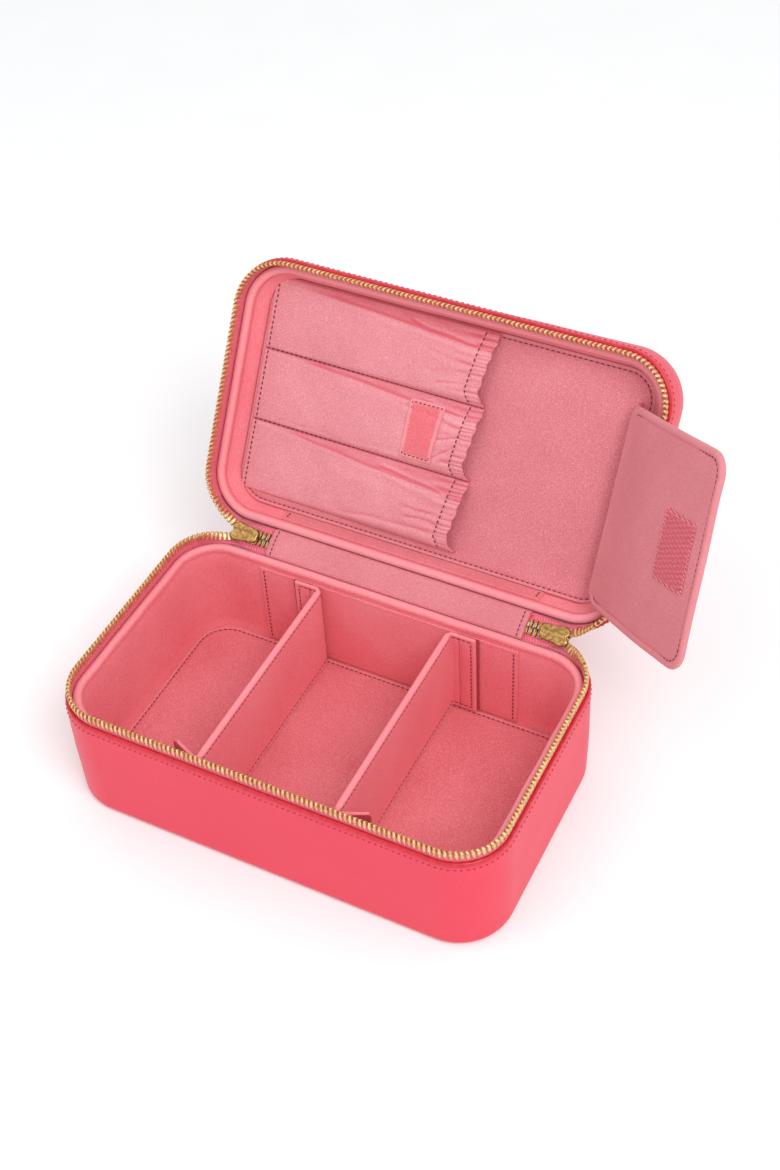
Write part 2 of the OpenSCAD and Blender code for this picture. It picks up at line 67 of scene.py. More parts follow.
# the brush flap's fold, drawn with the case closed, and the flap's tilt down and away from it
FLAP_X, FLAP_Z, FLAP_Y = 96.5, 78.9, 4.5
FLAP_TILT = math.radians(180 - 133)
FLAP_W, FLAP_HALF, FLAP_T = 90.1, 49.0, 2.5
DIVIDER_X, DIVIDER_H, DIVIDER_Z = 35.95, 53.5, 5.0
DIV_Y0, DIV_Y1 = -60.7, 60.1
DIV_T, FLANGE_T, FLANGE_L = 3.0, 1.5, 16.0
SIDES = ((-1, "left"), (1, "right"))

# ---- camera, in metres --------------------------------------------------

EYE, AIM, ROLL = (0.28686, -0.45023, 0.66997), (-0.00882, 0.08346, 0.04977), math.radians(-3.425)
LENS, SENSOR = 78.69, 36


def add_camera():
    bpy.ops.object.camera_add()
    camera = bpy.context.object
    look = (Vector(AIM) - Vector(EYE)).to_track_quat("-Z", "Y").to_matrix().to_4x4()
    camera.matrix_world = Matrix.Translation(EYE) @ look @ Matrix.Rotation(ROLL, 4, "Z")
    camera.data.sensor_fit = "HORIZONTAL"
    camera.data.sensor_width = SENSOR
    camera.data.lens = LENS
    bpy.context.scene.camera = camera


add_camera()


# ---- shader kit ---------------------------------------------------------

def linear(rgb):
    """Display colour, 0 to 255, as the linear colour that a shader takes."""
    out = [c / 255 for c in rgb]
    return [c / 12.92 if c <= 0.04045 else ((c + 0.055) / 1.055) ** 2.4 for c in out]


class Val:
    """A socket's output that takes part in Python arithmetic."""

    def __init__(self, graph, socket):
        self.graph, self.socket = graph, socket

    def math(self, operation, *others):
        return self.graph.node("Math", {"operation": operation}, dict(enumerate((self,) + others)))

    def __add__(self, other):
        return self.math("ADD", other)

    def __mul__(self, other):
        return self.math("MULTIPLY", other)

    def __sub__(self, other):
        return self.math("SUBTRACT", other)

    def __rsub__(self, other):
        return self.graph.node("Math", {"operation": "SUBTRACT"}, {0: other, 1: self})

    __radd__, __rmul__ = __add__, __mul__

    def band(self, low, high):
        """0 below low, 1 above high, smooth between."""
        return self.graph.node("MapRange", {"interpolation_type": "SMOOTHSTEP"},
                               {"Value": self, "From Min": low, "From Max": high})


class Graph:
    """A node tree, filled node by node."""

    def __init__(self, tree):
        self.tree = tree
        tree.nodes.clear()

    def raw(self, kind, settings=None, inputs=None):
        node = self.tree.nodes.new("ShaderNode" + kind)
        for key, value in (settings or {}).items():
            setattr(node, key, value)
        for key, value in (inputs or {}).items():
            if isinstance(value, Val):
                self.tree.links.new(value.socket, node.inputs[key])
            else:
                node.inputs[key].default_value = value
        return node

    def node(self, kind, settings=None, inputs=None, out=0):
        return Val(self, self.raw(kind, settings, inputs).outputs[out])


class Finish(Graph):
    """A material."""

    def __init__(self, name):
        self.material = bpy.data.materials.new(name)
        self.material.use_nodes = True
        super().__init__(self.material.node_tree)
        self.at = self.node("TexCoord", out="Object")

    def split(self, vector):
        return [Val(self, s) for s in self.raw("SeparateXYZ", {}, {0: vector}).outputs]

    def painted_light_and_selvedge(self):
        """How much painted shade (above 0) or painted light (below 0) a piece puts on a place; on the loop
        patch, below 0 is instead its paler selvedge.
        """
        return self.node("Attribute", {"attribute_name": "painted_light_and_selvedge"}, out=2)

    def noise(self, size, detail=2.0, rough=0.5, stretch=None):
        """Noise whose lumps are about size mm across."""
        where = self.node("Mapping", {}, {"Vector": self.at, "Scale": stretch}) if stretch else self.at
        return self.node("TexNoise", {}, {"Vector": where, "Scale": 1000 / size, "Detail": detail,
                                          "Roughness": rough})

    def cells(self, size, settings, **inputs):
        return self.node("TexVoronoi", settings, {"Vector": self.at, "Scale": 1000 / size, **inputs})

    def mix(self, share, low, high):
        """From low to high, which are display colours or colours mixed before."""
        low, high = (c if isinstance(c, Val) else linear(c) + [1.0] for c in (low, high))
        return self.node("Mix", {"data_type": "RGBA"}, {0: share, 6: low, 7: high}, out=2)

    def bump(self, height, depth):
        """Bump whose height of 1 is depth mm."""
        return self.node("Bump", {}, {"Height": height, "Distance": depth * MM, "Strength": 1.0})

    def done(self, colour, roughness, normal=None, metallic=0.0, sheen=0.0, specular=0.5):
        inputs = {"Base Color": colour, "Roughness": roughness, "Metallic": metallic,
                  "Sheen Weight": sheen, "Specular IOR Level": specular}
        if normal:
            inputs["Normal"] = normal
        self.raw("OutputMaterial", {}, {"Surface": self.node("BsdfPrincipled", {}, inputs)})
        return self.material


# ---- finishes -------------------------------------------------------------

def leather(name, colour, deep, light, grain=0.8, nap=0.45, depth=0.17, rough=0.72, sheen=0.1,
            speckle=2.1, painted_shade=(196, 62, 82)):
    """Embossed imitation leather: fine pebbles, a finer speckle and slow tone changes, with painted shade and
    painted light mixed in where a piece asks for them.
    """
    f = Finish(name)
    pebble = f.cells(grain, {"feature": "SMOOTH_F1"}, Smoothness=0.6)
    fine = f.noise(nap, 3, 0.6)
    tone = (fine - 0.5) * speckle + (pebble - 0.4) * 0.35 + (f.noise(38) - 0.5) * 0.5 + 0.5
    shade = f.mix(tone.band(0.0, 0.5), deep, colour)
    shade = f.mix(tone.band(0.5, 1.05), shade, light)
    # above 0 the attribute mixes in painted shade, below 0 it mixes in painted light
    painted_light_and_selvedge = f.painted_light_and_selvedge()
    shade = f.mix(painted_light_and_selvedge.band(0.0, 1.0) * 0.75, shade, painted_shade)
    shade = f.mix((0 - painted_light_and_selvedge).band(0.0, 1.0) * 0.6, shade, light)
    return f.done(shade, (fine - 0.5) * 0.2 + rough, f.bump(fine * 0.6 - pebble * 0.7, depth),
                  sheen=sheen, specular=0.35)


LEATHER = leather("outer leather", (224, 57, 80), (214, 48, 70), (234, 68, 92), grain=0.9, nap=0.7,
                  depth=0.035, rough=0.42, sheen=0.0, speckle=1.0)
LINING = leather("lining leather", (222, 120, 129), (200, 90, 101), (242, 154, 159))
# a paler copy of the lining for the walls, the dividers and the base's back strip: painted light where they
# stand in shade
WALL_LINING = leather("wall lining", (242, 128, 139), (218, 96, 109), (237, 163, 169))
PANEL_LEATHER = leather("panel leather", (211, 120, 129), (190, 90, 101), (232, 154, 159))
POCKET_LEATHER = leather("pocket leather", (219, 136, 145), (198, 104, 114), (240, 170, 174), rough=0.7,
                         speckle=2.2, painted_shade=(206, 78, 94))
FLAP_LEATHER = leather("flap leather", (207, 120, 128), (189, 101, 110), (226, 146, 150), depth=0.16,
                       rough=0.7, speckle=1.7)
STRIP_LEATHER = leather("strip leather", (211, 122, 130), (198, 96, 107), (240, 156, 162), depth=0.16,
                        rough=0.68, speckle=1.8)


def edge_paint():
    """Glossy painted edge, with the soft waviness of a hand-laid coat."""
    f = Finish("edge paint")
    wave = f.noise(3.0)
    return f.done(f.mix(wave.band(0.3, 0.7), (186, 14, 36), (208, 24, 46)), wave * 0.15 + 0.25,
                  f.bump(wave, 0.05))


def woven_tape():
    """Herringbone tape: slanted ribs that turn over at each row, on the surface's own map in mm."""
    f = Finish("woven tape")
    u, v, _ = f.split(f.node("UVMap", {"uv_map": "UVMap"}))
    zig = (v * 0.625).math("PINGPONG", 1.0)
    rib = (u * 0.9 + zig * 1.1).math("PINGPONG", 0.5) * 2
    tone = rib.band(0.1, 0.8) * 0.85 + (f.noise(0.25) - 0.5) * 0.3
    return f.done(f.mix(tone.band(0.0, 1.0), (220, 74, 102), (252, 134, 152)), 0.75,
                  f.bump(tone, 0.22), sheen=0.15)


def brass(name, colour, deep, metal, rough):
    """Plated brass, its tone worn in patches."""
    f = Finish(name)
    wear = f.noise(1.6, 3)
    return f.done(f.mix(wear.band(0.35, 0.7), deep, colour), wear * 0.2 + rough,
                  f.bump(f.noise(0.3), 0.012), metallic=metal)


def thread(name, deep, light):
    """Twisted sewing thread."""
    f = Finish(name)
    x, y, z = f.split(f.at)
    twist = ((x + y + z) * 2600).math("SINE")
    return f.done(f.mix(twist.band(-1, 1), deep, light), 0.7, f.bump(twist, 0.05))


def hook_and_loop(name, colour, deep, size, pale=(236, 150, 158)):
    """Pile of small hooks or loops. Below 0 the attribute makes it paler: the loop patch's selvedge, and
    painted light on the hook patch's raised rows; above 0 it makes it darker, painted shade between those
    rows.
    """
    f = Finish(name)
    tone = (1 - f.cells(size, {"feature": "F1"})) * 0.6 + f.noise(size * 1.7, 4, 0.7) * 0.5
    painted_light_and_selvedge = f.painted_light_and_selvedge()
    shade = f.mix(tone.band(0.25, 0.85), deep, colour)
    shade = f.mix((0 - painted_light_and_selvedge).band(0.0, 1.0) * 0.8, shade, pale)
    shade = f.mix(painted_light_and_selvedge.band(0.0, 1.0) * 0.6, shade, deep)
    return f.done(shade, 0.9, f.bump(tone, 0.35), sheen=0.3)


def board():
    """Paperboard faced with pink paper, between the leather and the lining."""
    f = Finish("paperboard")
    fibre = f.noise(1.2, 4, 0.7, stretch=(1, 4, 1))
    return f.done(f.mix(fibre.band(0.3, 0.7), (176, 92, 100), (200, 116, 122)), 0.85,
                  f.bump(fibre, 0.06))


PAINT, TAPE, BOARD = edge_paint(), woven_tape(), board()
BRASS = brass("brass", (240, 208, 158), (205, 158, 100), 0.7, 0.3)
SLIDER_BRASS = brass("slider brass", (190, 152, 94), (142, 106, 58), 0.9, 0.24)
THREAD = thread("dark thread", (88, 16, 36), (132, 36, 56))
RED_THREAD = thread("red thread", (140, 24, 48), (186, 50, 72))
PALE_THREAD = thread("pale thread", (196, 84, 96), (238, 150, 156))
LOOP = hook_and_loop("loop pile", (240, 126, 134), (218, 92, 104), 0.5)
HOOK = hook_and_loop("hook pile", (222, 96, 108), (184, 58, 76), 0.6)
RED_HOOK = hook_and_loop("red hook pile", (206, 36, 56), (150, 12, 34), 0.6)


# ---- curves -----------------------------------------------------------------

def columns(*values):
    """Points, from their coordinates."""
    return np.column_stack(values)


def ease(a, b, v):
    """0 at a, 1 at b, smooth between and flat beyond."""
    t = np.clip((v - a) / (b - a), 0, 1)
    return t * t * (3 - 2 * t)


def groove(v, at, width):
    """1 at a place, fading over a width on either side."""
    return np.exp(-((v - at) / width) ** 2)


def ripple(a, b, seed=0.0):
    """Slow waves, between -1 and 1, for the unevenness of padding."""
    return (np.sin(a * 0.071 + seed) * np.sin(b * 0.093 + 1.3 * seed + 0.4)
            + 0.6 * np.sin(a * 0.031 + 2.1 * seed + 1.7) + 0.4 * np.sin(a * 0.13 + b * 0.05 + seed)) / 2


def unit_vectors(v):
    return v / np.maximum(np.linalg.norm(v, axis=-1, keepdims=True), 1e-9)


def run_of(line):
    """Distance along a polyline at each of its points."""
    return np.concatenate(([0], np.cumsum(np.linalg.norm(np.diff(line, axis=0), axis=1))))


def walk(line, at):
    """The places at some distances along a polyline."""
    run = run_of(line)
    return np.column_stack([np.interp(at, run, axis) for axis in line.T])


def spaced(line, pitch, ends=0.5):
    """Points at an even pitch along a polyline, the first one ends of a pitch from its start."""
    length = run_of(line)[-1]
    count = max(int(round(length / pitch)), 1)
    return walk(line, (np.arange(count + (0 <= ends < 0.1)) + ends) * length / count)


def smoothed(line, times):
    for _ in range(times):
        line[1:-1] = (line[:-2] + 2 * line[1:-1] + line[2:]) / 4
    return line


def rounded(corners, steps=5):
    """Polyline through (inset, z, radius) corners, each rounded to its radius."""
    points = [np.array(c[:2], float) for c in corners]
    line = []
    for i, (here, corner) in enumerate(zip(points, corners)):
        r = corner[2] if len(corner) > 2 else 0
        if r == 0 or i in (0, len(points) - 1):
            line.append(here)
            continue
        a, b = (unit_vectors(points[k] - here) for k in (i - 1, i + 1))
        half = math.acos(max(-1, min(1, a @ b))) / 2
        cut = r / math.tan(half)
        centre = here + unit_vectors(a + b) * r / math.sin(half)
        p0, p1 = here + a * cut - centre, here + b * cut - centre
        turn = math.acos(max(-1, min(1, p0 @ p1 / r / r)))
        for k in range(steps + 1):
            w0, w1 = math.sin((1 - k / steps) * turn), math.sin(k / steps * turn)
            line.append(centre + (p0 * w0 + p1 * w1) / math.sin(turn))
    return np.array(line)


def outline(size, radius, inset=0.0, corner_steps=8):
    """Closed polyline round a rounded rectangle, going anticlockwise."""
    w, l, r = size[0] / 2 - inset, size[1] / 2 - inset, max(radius - inset, 0.2)
    points = []
    for cx, cy, a0 in ((1, 1, 0), (-1, 1, 90), (-1, -1, 180), (1, -1, 270)):
        for k in range(corner_steps + 1):
            a = math.radians(a0 + 90 * k / corner_steps)
            points.append((cx * (w - r) + r * math.cos(a), cy * (l - r) + r * math.sin(a)))
    return np.array(points + points[:1])


# ---- frames and the plan of the case -------------------------------------

def turned(points, pivot, angle):
    """Points turned open about a line along x through pivot (y, z)."""
    c, s = math.cos(angle), math.sin(angle)
    y, z = points[:, 1] - pivot[0], points[:, 2] - pivot[1]
    return columns(points[:, 0], pivot[0] + y * c + z * s, pivot[1] - y * s + z * c)


def on_base(points):
    return points


def on_lid(points):
    return turned(points, LID_PIVOT, LID_ANGLE)


def on_lid_flipped(points):
    """For what the lid repeats of the base: drawn on the base and turned over about the zip's plane."""
    return on_lid(points * [1, 1, -1] + [0, 0, 2 * ZIP_Z])


LONG, SHORT, ARC = CASE_W / 2 - CORNER, CASE_D / 2 - CORNER, math.pi / 2 * CORNER
PLAN_LENGTH = 4 * (LONG + SHORT + ARC)


def plan_at(s):
    """Point and outward normal on the outer plan, s mm from the middle of the back, going right."""
    s = np.mod(s, PLAN_LENGTH)
    x, y, nx, ny = (np.zeros_like(s) for _ in range(4))
    start = 0.0
    steps = [(LONG, (0, CASE_D / 2), (1, 0)), (ARC, (LONG, SHORT), 90),
             (2 * SHORT, (CASE_W / 2, SHORT), (0, -1)), (ARC, (LONG, -SHORT), 0),
             (2 * LONG, (LONG, -CASE_D / 2), (-1, 0)), (ARC, (-LONG, -SHORT), -90),
             (2 * SHORT, (-CASE_W / 2, -SHORT), (0, 1)), (ARC, (-LONG, SHORT), 180),
             (LONG, (-LONG, CASE_D / 2), (1, 0))]
    for length, point, way in steps:
        here = (s >= start - 1e-9) & (s <= start + length + 1e-9)
        t = s[here] - start
        if isinstance(way, tuple):
            x[here], y[here] = point[0] + way[0] * t, point[1] + way[1] * t
            nx[here], ny[here] = -way[1], way[0]
        else:
            a = math.radians(way) - t / CORNER
            nx[here], ny[here] = np.cos(a), np.sin(a)
            x[here], y[here] = point[0] + CORNER * nx[here], point[1] + CORNER * ny[here]
        start += length
    return columns(x, y), columns(nx, ny)


# ---- making pieces --------------------------------------------------------

def select_only(*pieces):
    bpy.ops.object.select_all(action="DESELECT")
    for piece in pieces:
        piece.select_set(True)
    bpy.context.view_layer.objects.active = pieces[0]


def close_up(piece, angle=40, merge=True):
    """Joins the seams, fills what is open, turns the faces outwards and smooths."""
    select_only(piece)
    bpy.ops.object.mode_set(mode="EDIT")
    bpy.ops.mesh.select_all(action="SELECT")
    if merge:
        bpy.ops.mesh.remove_doubles(threshold=3e-6)
        bpy.ops.mesh.fill_holes(sides=0)
        bpy.ops.mesh.select_all(action="SELECT")
    bpy.ops.mesh.normals_make_consistent(inside=False)
    bpy.ops.object.mode_set(mode="OBJECT")
    bpy.ops.object.shade_smooth_by_angle(angle=math.radians(angle))
    return piece


def joined(name, pieces):
    select_only(*pieces)
    bpy.ops.object.join()
    pieces[0].name = pieces[0].data.name = name
    return pieces[0]


def mesh_points(mesh):
    co = np.empty(len(mesh.vertices) * 3)
    mesh.vertices.foreach_get("co", co)
    return co.reshape(-1, 3)


def sheet(name, nu, nv, shape, material, mapped=None, painted_light_and_selvedge=None):
    """A grid primitive whose crossings are moved to shape(column, row), in mm."""
    bpy.ops.object.select_all(action="DESELECT")
    bpy.ops.mesh.primitive_grid_add(x_subdivisions=nu, y_subdivisions=nv, size=1)
    piece = bpy.context.object
    piece.name = piece.data.name = name
    mesh = piece.data
    co = mesh_points(mesh)
    column = np.rint((co[:, 0] + 0.5) * nu).astype(int)
    row = np.rint((co[:, 1] + 0.5) * nv).astype(int)
    mesh.vertices.foreach_set("co", (shape(column, row) * MM).ravel())
    if mapped:
        corner = np.empty(len(mesh.loops), int)
        mesh.loops.foreach_get("vertex_index", corner)
        mesh.uv_layers[0].data.foreach_set("uv", mapped(column, row)[corner].ravel())
    # each point's painted shade and painted light, or on the loop patch its selvedge, kept as an attribute
    # for the finishes
    if painted_light_and_selvedge:
        wear_and_shade = mesh.attributes.new("painted_light_and_selvedge", "FLOAT", "POINT")
        wear_and_shade.data.foreach_set("value", painted_light_and_selvedge(column, row).astype(np.float32))
    mesh.update()
    mesh.materials.append(material)
    return piece


def thicken(piece, thickness):
    select_only(piece)
    wall = piece.modifiers.new("wall", "SOLIDIFY")
    wall.thickness, wall.offset, wall.use_even_offset = thickness * MM, 0, True
    bpy.ops.object.modifier_apply(modifier="wall")


def ring(name, profile, material, place=on_base, start=0.0, steps=340, shape=None, loop=True,
         painted_light_and_selvedge=None):
    """Sweeps a profile of (inset, z) round the plan, closed or open at the back."""
    line = np.array(profile, float)
    if loop:
        line = np.vstack((line, line[:1]))
    run = run_of(line)

    def along(column):
        return start + (PLAN_LENGTH - 2 * start) * column.astype(float) / steps

    def put(column, row):
        s = along(column)
        point, normal = plan_at(s)
        inset, z = line[row, 0].copy(), line[row, 1].copy()
        if shape:
            inset, z = shape(s, point, normal, inset, z)
        return place(columns(point - normal * inset[:, None], z))

    return close_up(sheet(name, steps, len(line) - 1, put, material,
                          lambda column, row: columns(along(column), run[row]),
                          (lambda column, row: painted_light_and_selvedge(*line[row].T)) if painted_light_and_selvedge else None))


def stops(values):
    """Sorted values at least 0.1 apart."""
    out = []
    for v in sorted(values):
        if not out or v - out[-1] > 0.1:
            out.append(v)
    return out


def pad(name, size, radius, thick, edge, material, place, count=(24, 16), lines=(), top=None,
        bottom=None, angle=40, painted_light_and_selvedge=None):
    """A soft-edged slab with a rounded outline. Rows of its grid follow the outline at lines' depths;
    thick, top, bottom and tint may be functions of (x, y, depth in)."""
    w, l = size[0] / 2, size[1] / 2
    rim = [edge * (1 - math.cos(a)) for a in np.linspace(0, math.pi / 2, 5)]
    arc = [radius * (1 - math.cos(a)) for a in np.linspace(0, math.pi / 2, 9)]
    near_x, near_y = stops(rim + arc + list(lines)), stops(rim + list(lines))
    inner = w - near_x[-1]
    xs = np.array([-w + d for d in near_x] + list(np.linspace(-inner, inner, count[0] + 1)[1:-1])
                  + [w - d for d in reversed(near_x)])
    share = np.linspace(-1, 1, count[1] + 1)[1:-1]
    n = len(near_y)
    m = 2 * n + len(share)
    depths = np.array(near_y + [0] * len(share) + near_y[::-1])

    def flat(column, row):
        x = xs[column]
        over = np.clip(np.abs(x) - (w - radius), 0, radius)
        half = l - (radius - np.sqrt(np.maximum(radius ** 2 - over ** 2, 0)))
        back = row >= m
        k = np.clip(np.where(back, 2 * (m - 1) - row, row), 0, m - 1)
        middle = share[np.clip(k - n, 0, len(share) - 1)] * (half - near_y[-1])
        y = np.where(k < n, -half + depths[k], np.where(k >= n + len(share), half - depths[k], middle))
        qx, qy = np.abs(x) - (w - radius), np.abs(y) - (l - radius)
        sdf = np.hypot(np.maximum(qx, 0), np.maximum(qy, 0)) + np.minimum(np.maximum(qx, qy), 0)
        d = np.clip(radius - sdf, 0, None)
        d[(k == 0) | (k == m - 1) | (column == 0) | (column == len(xs) - 1)] = 0
        return x, y, d, back

    def put(column, row):
        x, y, d, back = flat(column, row)
        t = thick(x, y, d) if callable(thick) else thick
        fade = np.clip(d / edge, 0, 1)
        h = t / 2 * np.sqrt(1 - (1 - fade) ** 2)
        z = np.where(back, -h, h)
        if top:
            z = z + np.where(back, 0, top(x, y, d) * fade)
        if bottom:
            z = z - np.where(back, bottom(x, y, d) * fade, 0)
        return place(columns(x, y, z))

    def mapped(column, row):
        k = np.where(row >= m, 2 * (m - 1) - row, row)
        return columns(xs[column], k * size[1] / (m - 1))

    return close_up(sheet(name, len(xs) - 1, 2 * (m - 1), put, material, mapped,
                          (lambda column, row: painted_light_and_selvedge(*flat(column, row)[:3])) if painted_light_and_selvedge else None), angle)


def repeated(name, unit, origin, x_axis, y_axis, z_axis, material):
    """One mesh made of a unit mesh (in mm) set down in many places. The unit goes."""
    co = mesh_points(unit.data)
    axes = x_axis[:, None], y_axis[:, None], z_axis[:, None]
    points = origin[:, None] + sum(co[None, :, i:i + 1] * axis for i, axis in enumerate(axes))
    faces = [tuple(p.vertices) for p in unit.data.polygons]
    data = bpy.data.meshes.new(name)
    data.from_pydata((points.reshape(-1, 3) * MM).tolist(), [],
                     [tuple(v + len(co) * i for v in f) for i in range(len(origin)) for f in faces])
    data.materials.append(material)
    piece = bpy.data.objects.new(name, data)
    bpy.context.scene.collection.objects.link(piece)
    bpy.data.objects.remove(unit)
    return close_up(piece, merge=False)


def keep(piece, body, slot, *nodes):
    """Hides the CAD nodes that a piece stands for. body is what carries it, and the piece is hung on it; or
    body is the two that it would bend between with where that starts and ends, and then the piece is only
    baked where it stands. slot is not used."""
    if nodes:
        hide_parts(*nodes)
    if isinstance(body, str):
        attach(piece, body)
    else:
        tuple(body[2])
        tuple(body[3])
        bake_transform(piece)
    return piece


def sewing_line(put, line, height, up=1.0):
    """A line on a surface, at a height above it, and the way out of the surface there."""
    at = columns(line, np.broadcast_to(height, len(line)))
    foot = put(at)
    return foot, put(at + [0, 0, up]) - foot


def stitches(name, rows, body, pitch=2.7, length=1.9, radius=0.32, slot="lining", material=THREAD):
    """Threads lying along polylines. rows is a list of (points, outward directions), in mm."""
    origin, way, out = [], [], []
    for row in rows:
        at, ahead = (spaced(np.column_stack(row), pitch, ends) for ends in (0.5, 0.56))
        origin.append(at[:, :3])
        way.append(unit_vectors(ahead[:, :3] - at[:, :3]))
        out.append(unit_vectors(at[:, 3:]))
    origin, way, out = (np.vstack(v) for v in (origin, way, out))
    bpy.ops.mesh.primitive_uv_sphere_add(segments=6, ring_count=5, radius=1)
    unit = bpy.context.object
    co = mesh_points(unit.data)
    co = columns(co[:, 2] * length / 2, co[:, 0] * radius, co[:, 1] * radius * 0.8)
    unit.data.vertices.foreach_set("co", co.ravel())
    piece = repeated(name, unit, origin + out * (radius * 0.35 - 0.02), way,
                     unit_vectors(np.cross(out, way)), out, material)
    return keep(piece, body, slot)


# ---- trays ---------------------------------------------------------------

def behind(x, y):
    """1 where the zip's sliders fold over the back wall's edge."""
    x = np.abs(x)
    return np.where(y > 0, ease(69.5, 74, x) * (1 - ease(92.5, 97.5, x)), 0)


def lid_lean(point, normal, z):
    """The lid's walls lean in towards its top, least at the hinge and at the right."""
    skew = 1.1 - 0.85 * ease(-60, 125, point[:, 0])
    return 4.4 * np.clip((z - 77) / 22.6, 0, 1) * (0.6 - 0.4 * normal[:, 1]) * skew


def outer_tray(body, edge, floor, wall_middle, place, lean=None):
    """Leather outside of one half. edge is its rim's z, floor the z of its bottom or top."""
    up = 1 if edge > floor else -1
    line = rounded([(FLAT_W, floor), (0, floor, 4.2), (-0.35, wall_middle, 30), (0, edge, 0.55),
                    (LEATHER_T, edge, 0.5), (LEATHER_T, floor + up * LEATHER_T, 2.5),
                    (FLAT_W, floor + up * LEATHER_T)], 6)
    long_steps = [i for i in range(len(line) - 1) if abs(line[i + 1, 1] - line[i, 1]) > 8]
    for i in reversed(long_steps):
        between = line[i] + (line[i + 1] - line[i]) * np.linspace(0, 1, 9)[1:-1, None]
        line = np.vstack((line[:i + 1], between, line[i + 1:]))

    def soft(s, point, normal, inset, z):
        rise = np.abs(z - floor) / abs(edge - floor)
        wave = ripple(s, z, 2.0) * 0.22 * np.sin(np.pi * np.clip(rise, 0, 1)) ** 2
        inset = inset - np.where(inset < 1.0, wave, 0)
        z = z - up * 1.7 * behind(point[:, 0], point[:, 1]) * ease(0.75, 1, rise)
        return (inset + lean(point, normal, z) * (inset < 20) if lean else inset), z

    piece = ring(body + "_outer_leather", line, LEATHER, place, shape=soft, loop=False)
    keep(piece, body, "leather", body + "_leather_shell")


outer_tray("base", BASE_H, 0, 30, on_base)
outer_tray("lid", LID_EDGE, LID_TOP, 88, on_lid, lid_lean)


def lid_board():
    """Stiff board inside the lid's leather, leaning in with it."""
    line = rounded([(FLAT_W, 98.0), (1.7, 98.0, 2.6), (1.7, 79.8), (3.0, 79.8), (3.0, 96.6, 1.6),
                    (FLAT_W, 96.6)], 4)

    def lean(s, point, normal, inset, z):
        return inset + lid_lean(point, normal, z) * (inset < 20), z

    keep(ring("lid_board", line, BOARD, on_lid, shape=lean, loop=False), "lid", "board", "lid_stiffener")


lid_board()


def painted_edge(body, foot, up, place):
    """Paint over the cut edge of one half's leather, from foot up or, with up at -1, down."""
    top = foot + up * PAINT_H
    line = rounded([(0.15, foot - up * 0.3), (0.1, top, 0.85), (2.0, top, 0.8), (2.0, foot - up * 0.3)], 5)

    def wavy(s, point, normal, inset, z):
        end = 1 - ease(96, 108, np.minimum(s, PLAN_LENGTH - s))
        return (inset + 0.08 * np.sin(s * 0.9) * np.sin(s * 0.23),
                z + 0.1 * ripple(s * 3, z, 4.0) - up * 1.7 * end * (np.abs(z - foot) > 0.5))

    piece = ring(body + "_edge_paint", line, PAINT, place, start=96.0, steps=300, shape=wavy)
    keep(piece, body, "binding", body + "_edge_binding")


painted_edge("base", BASE_H, 1, on_base)
painted_edge("lid", LID_EDGE, -1, on_lid)


def outer_stitches(body, z, place, lean=None):
    """The row that goes round one half, beside its painted edge."""
    point, normal = plan_at(np.linspace(0, PLAN_LENGTH, 700))
    proud = 0.1 - (lean(point, normal, z)[:, None] if lean else 0)
    at = columns(point + normal * proud, np.full(700, z))
    out = place(at + columns(normal, np.zeros(700))) - place(at)
    stitches(body + "_outer_stitches", [(place(at), out)], body, 2.9, 1.5, 0.24, "leather", RED_THREAD)


outer_stitches("base", 59.2, on_base)
outer_stitches("lid", 77.4, on_lid, lid_lean)


def rim_roll(z, up, end):
    """Padded roll inside the rim, as (inset, z) from its inner foot over to its outer one."""
    return [(5.45 + 2.25 * math.cos(a), z + up * 2.3 * math.sin(a)) for a in np.linspace(end, math.pi, 15)]


def lining(body, line, place, soft, painted_light_and_selvedge):
    piece = ring(body + "_lining", line, WALL_LINING, place, shape=soft, painted_light_and_selvedge=painted_light_and_selvedge)
    keep(piece, body, "lining", body + "_lining_wall", body + "_rim_roll")


def base_lining():
    line = ([(13.0, 3.0), (13.0, 3.2), (8.1, 3.2), (7.75, 3.7)]
            + [(7.72, z) for z in np.linspace(12, 56.6, 7)]
            + [(7.45, 57.6)] + rim_roll(59.9, 1, -0.5) + [(3.2, 50), (3.2, 3.0)])

    def soft(s, point, normal, inset, z):
        rim = ease(55, 60, z)
        wave = ripple(s, z * 1.5, 1.0) * 0.12 * (1 - rim) + rim * 0.12 * np.sin(s * 0.21)
        return inset + np.where(inset > 4.6, wave, 0), z + rim * 0.12 * ripple(s * 1.4, z, 1.0)

    # painted highlight along the top of the rim roll and painted shade in the crease under it
    def painted_light_and_selvedge(inset, z):
        return -0.6 * ease(60.4, 61.8, z) + 0.25 * groove(z, 57.6, 0.5)

    lining("base", line, on_base, soft, painted_light_and_selvedge)


def lid_lining():
    line = ([(10.6, 89.6), (10.3, 88.6)] + [(10.1 - 2.3 * t, 88 - 6.4 * t) for t in np.linspace(0, 1, 6)]
            + [(7.5, 80.9)] + rim_roll(79.2, -1, -0.4) + [(3.4, 81), (8.2, 91.6), (10.6, 92)])

    def soft(s, point, normal, inset, z):
        lean = ease(82, 89, z) * 1.6 * np.abs(normal[:, 0]) * (inset > 6)
        rim = 1 - ease(79.5, 83, z)
        wave = ripple(s, z * 3, 3.0) * 0.15 * (1 - rim)
        return inset + lean + np.where(inset > 4.6, wave, 0), z + rim * 0.12 * ripple(s * 1.4, z, 3.0)

    # painted highlight on the rim roll; painted shade a little over the whole wall, in the crease under the
    # roll and in the corner where the wall meets the panel
    def painted_light_and_selvedge(inset, z):
        return (0.1 - 0.8 * (1 - ease(77.6, 79.6, z)) + ease(88.2, 89, z) * (inset > 9)
                + 0.6 * groove(z, 81, 0.45) * (inset > 6))

    lining("lid", line, on_lid, soft, painted_light_and_selvedge)


base_lining()
lid_lining()


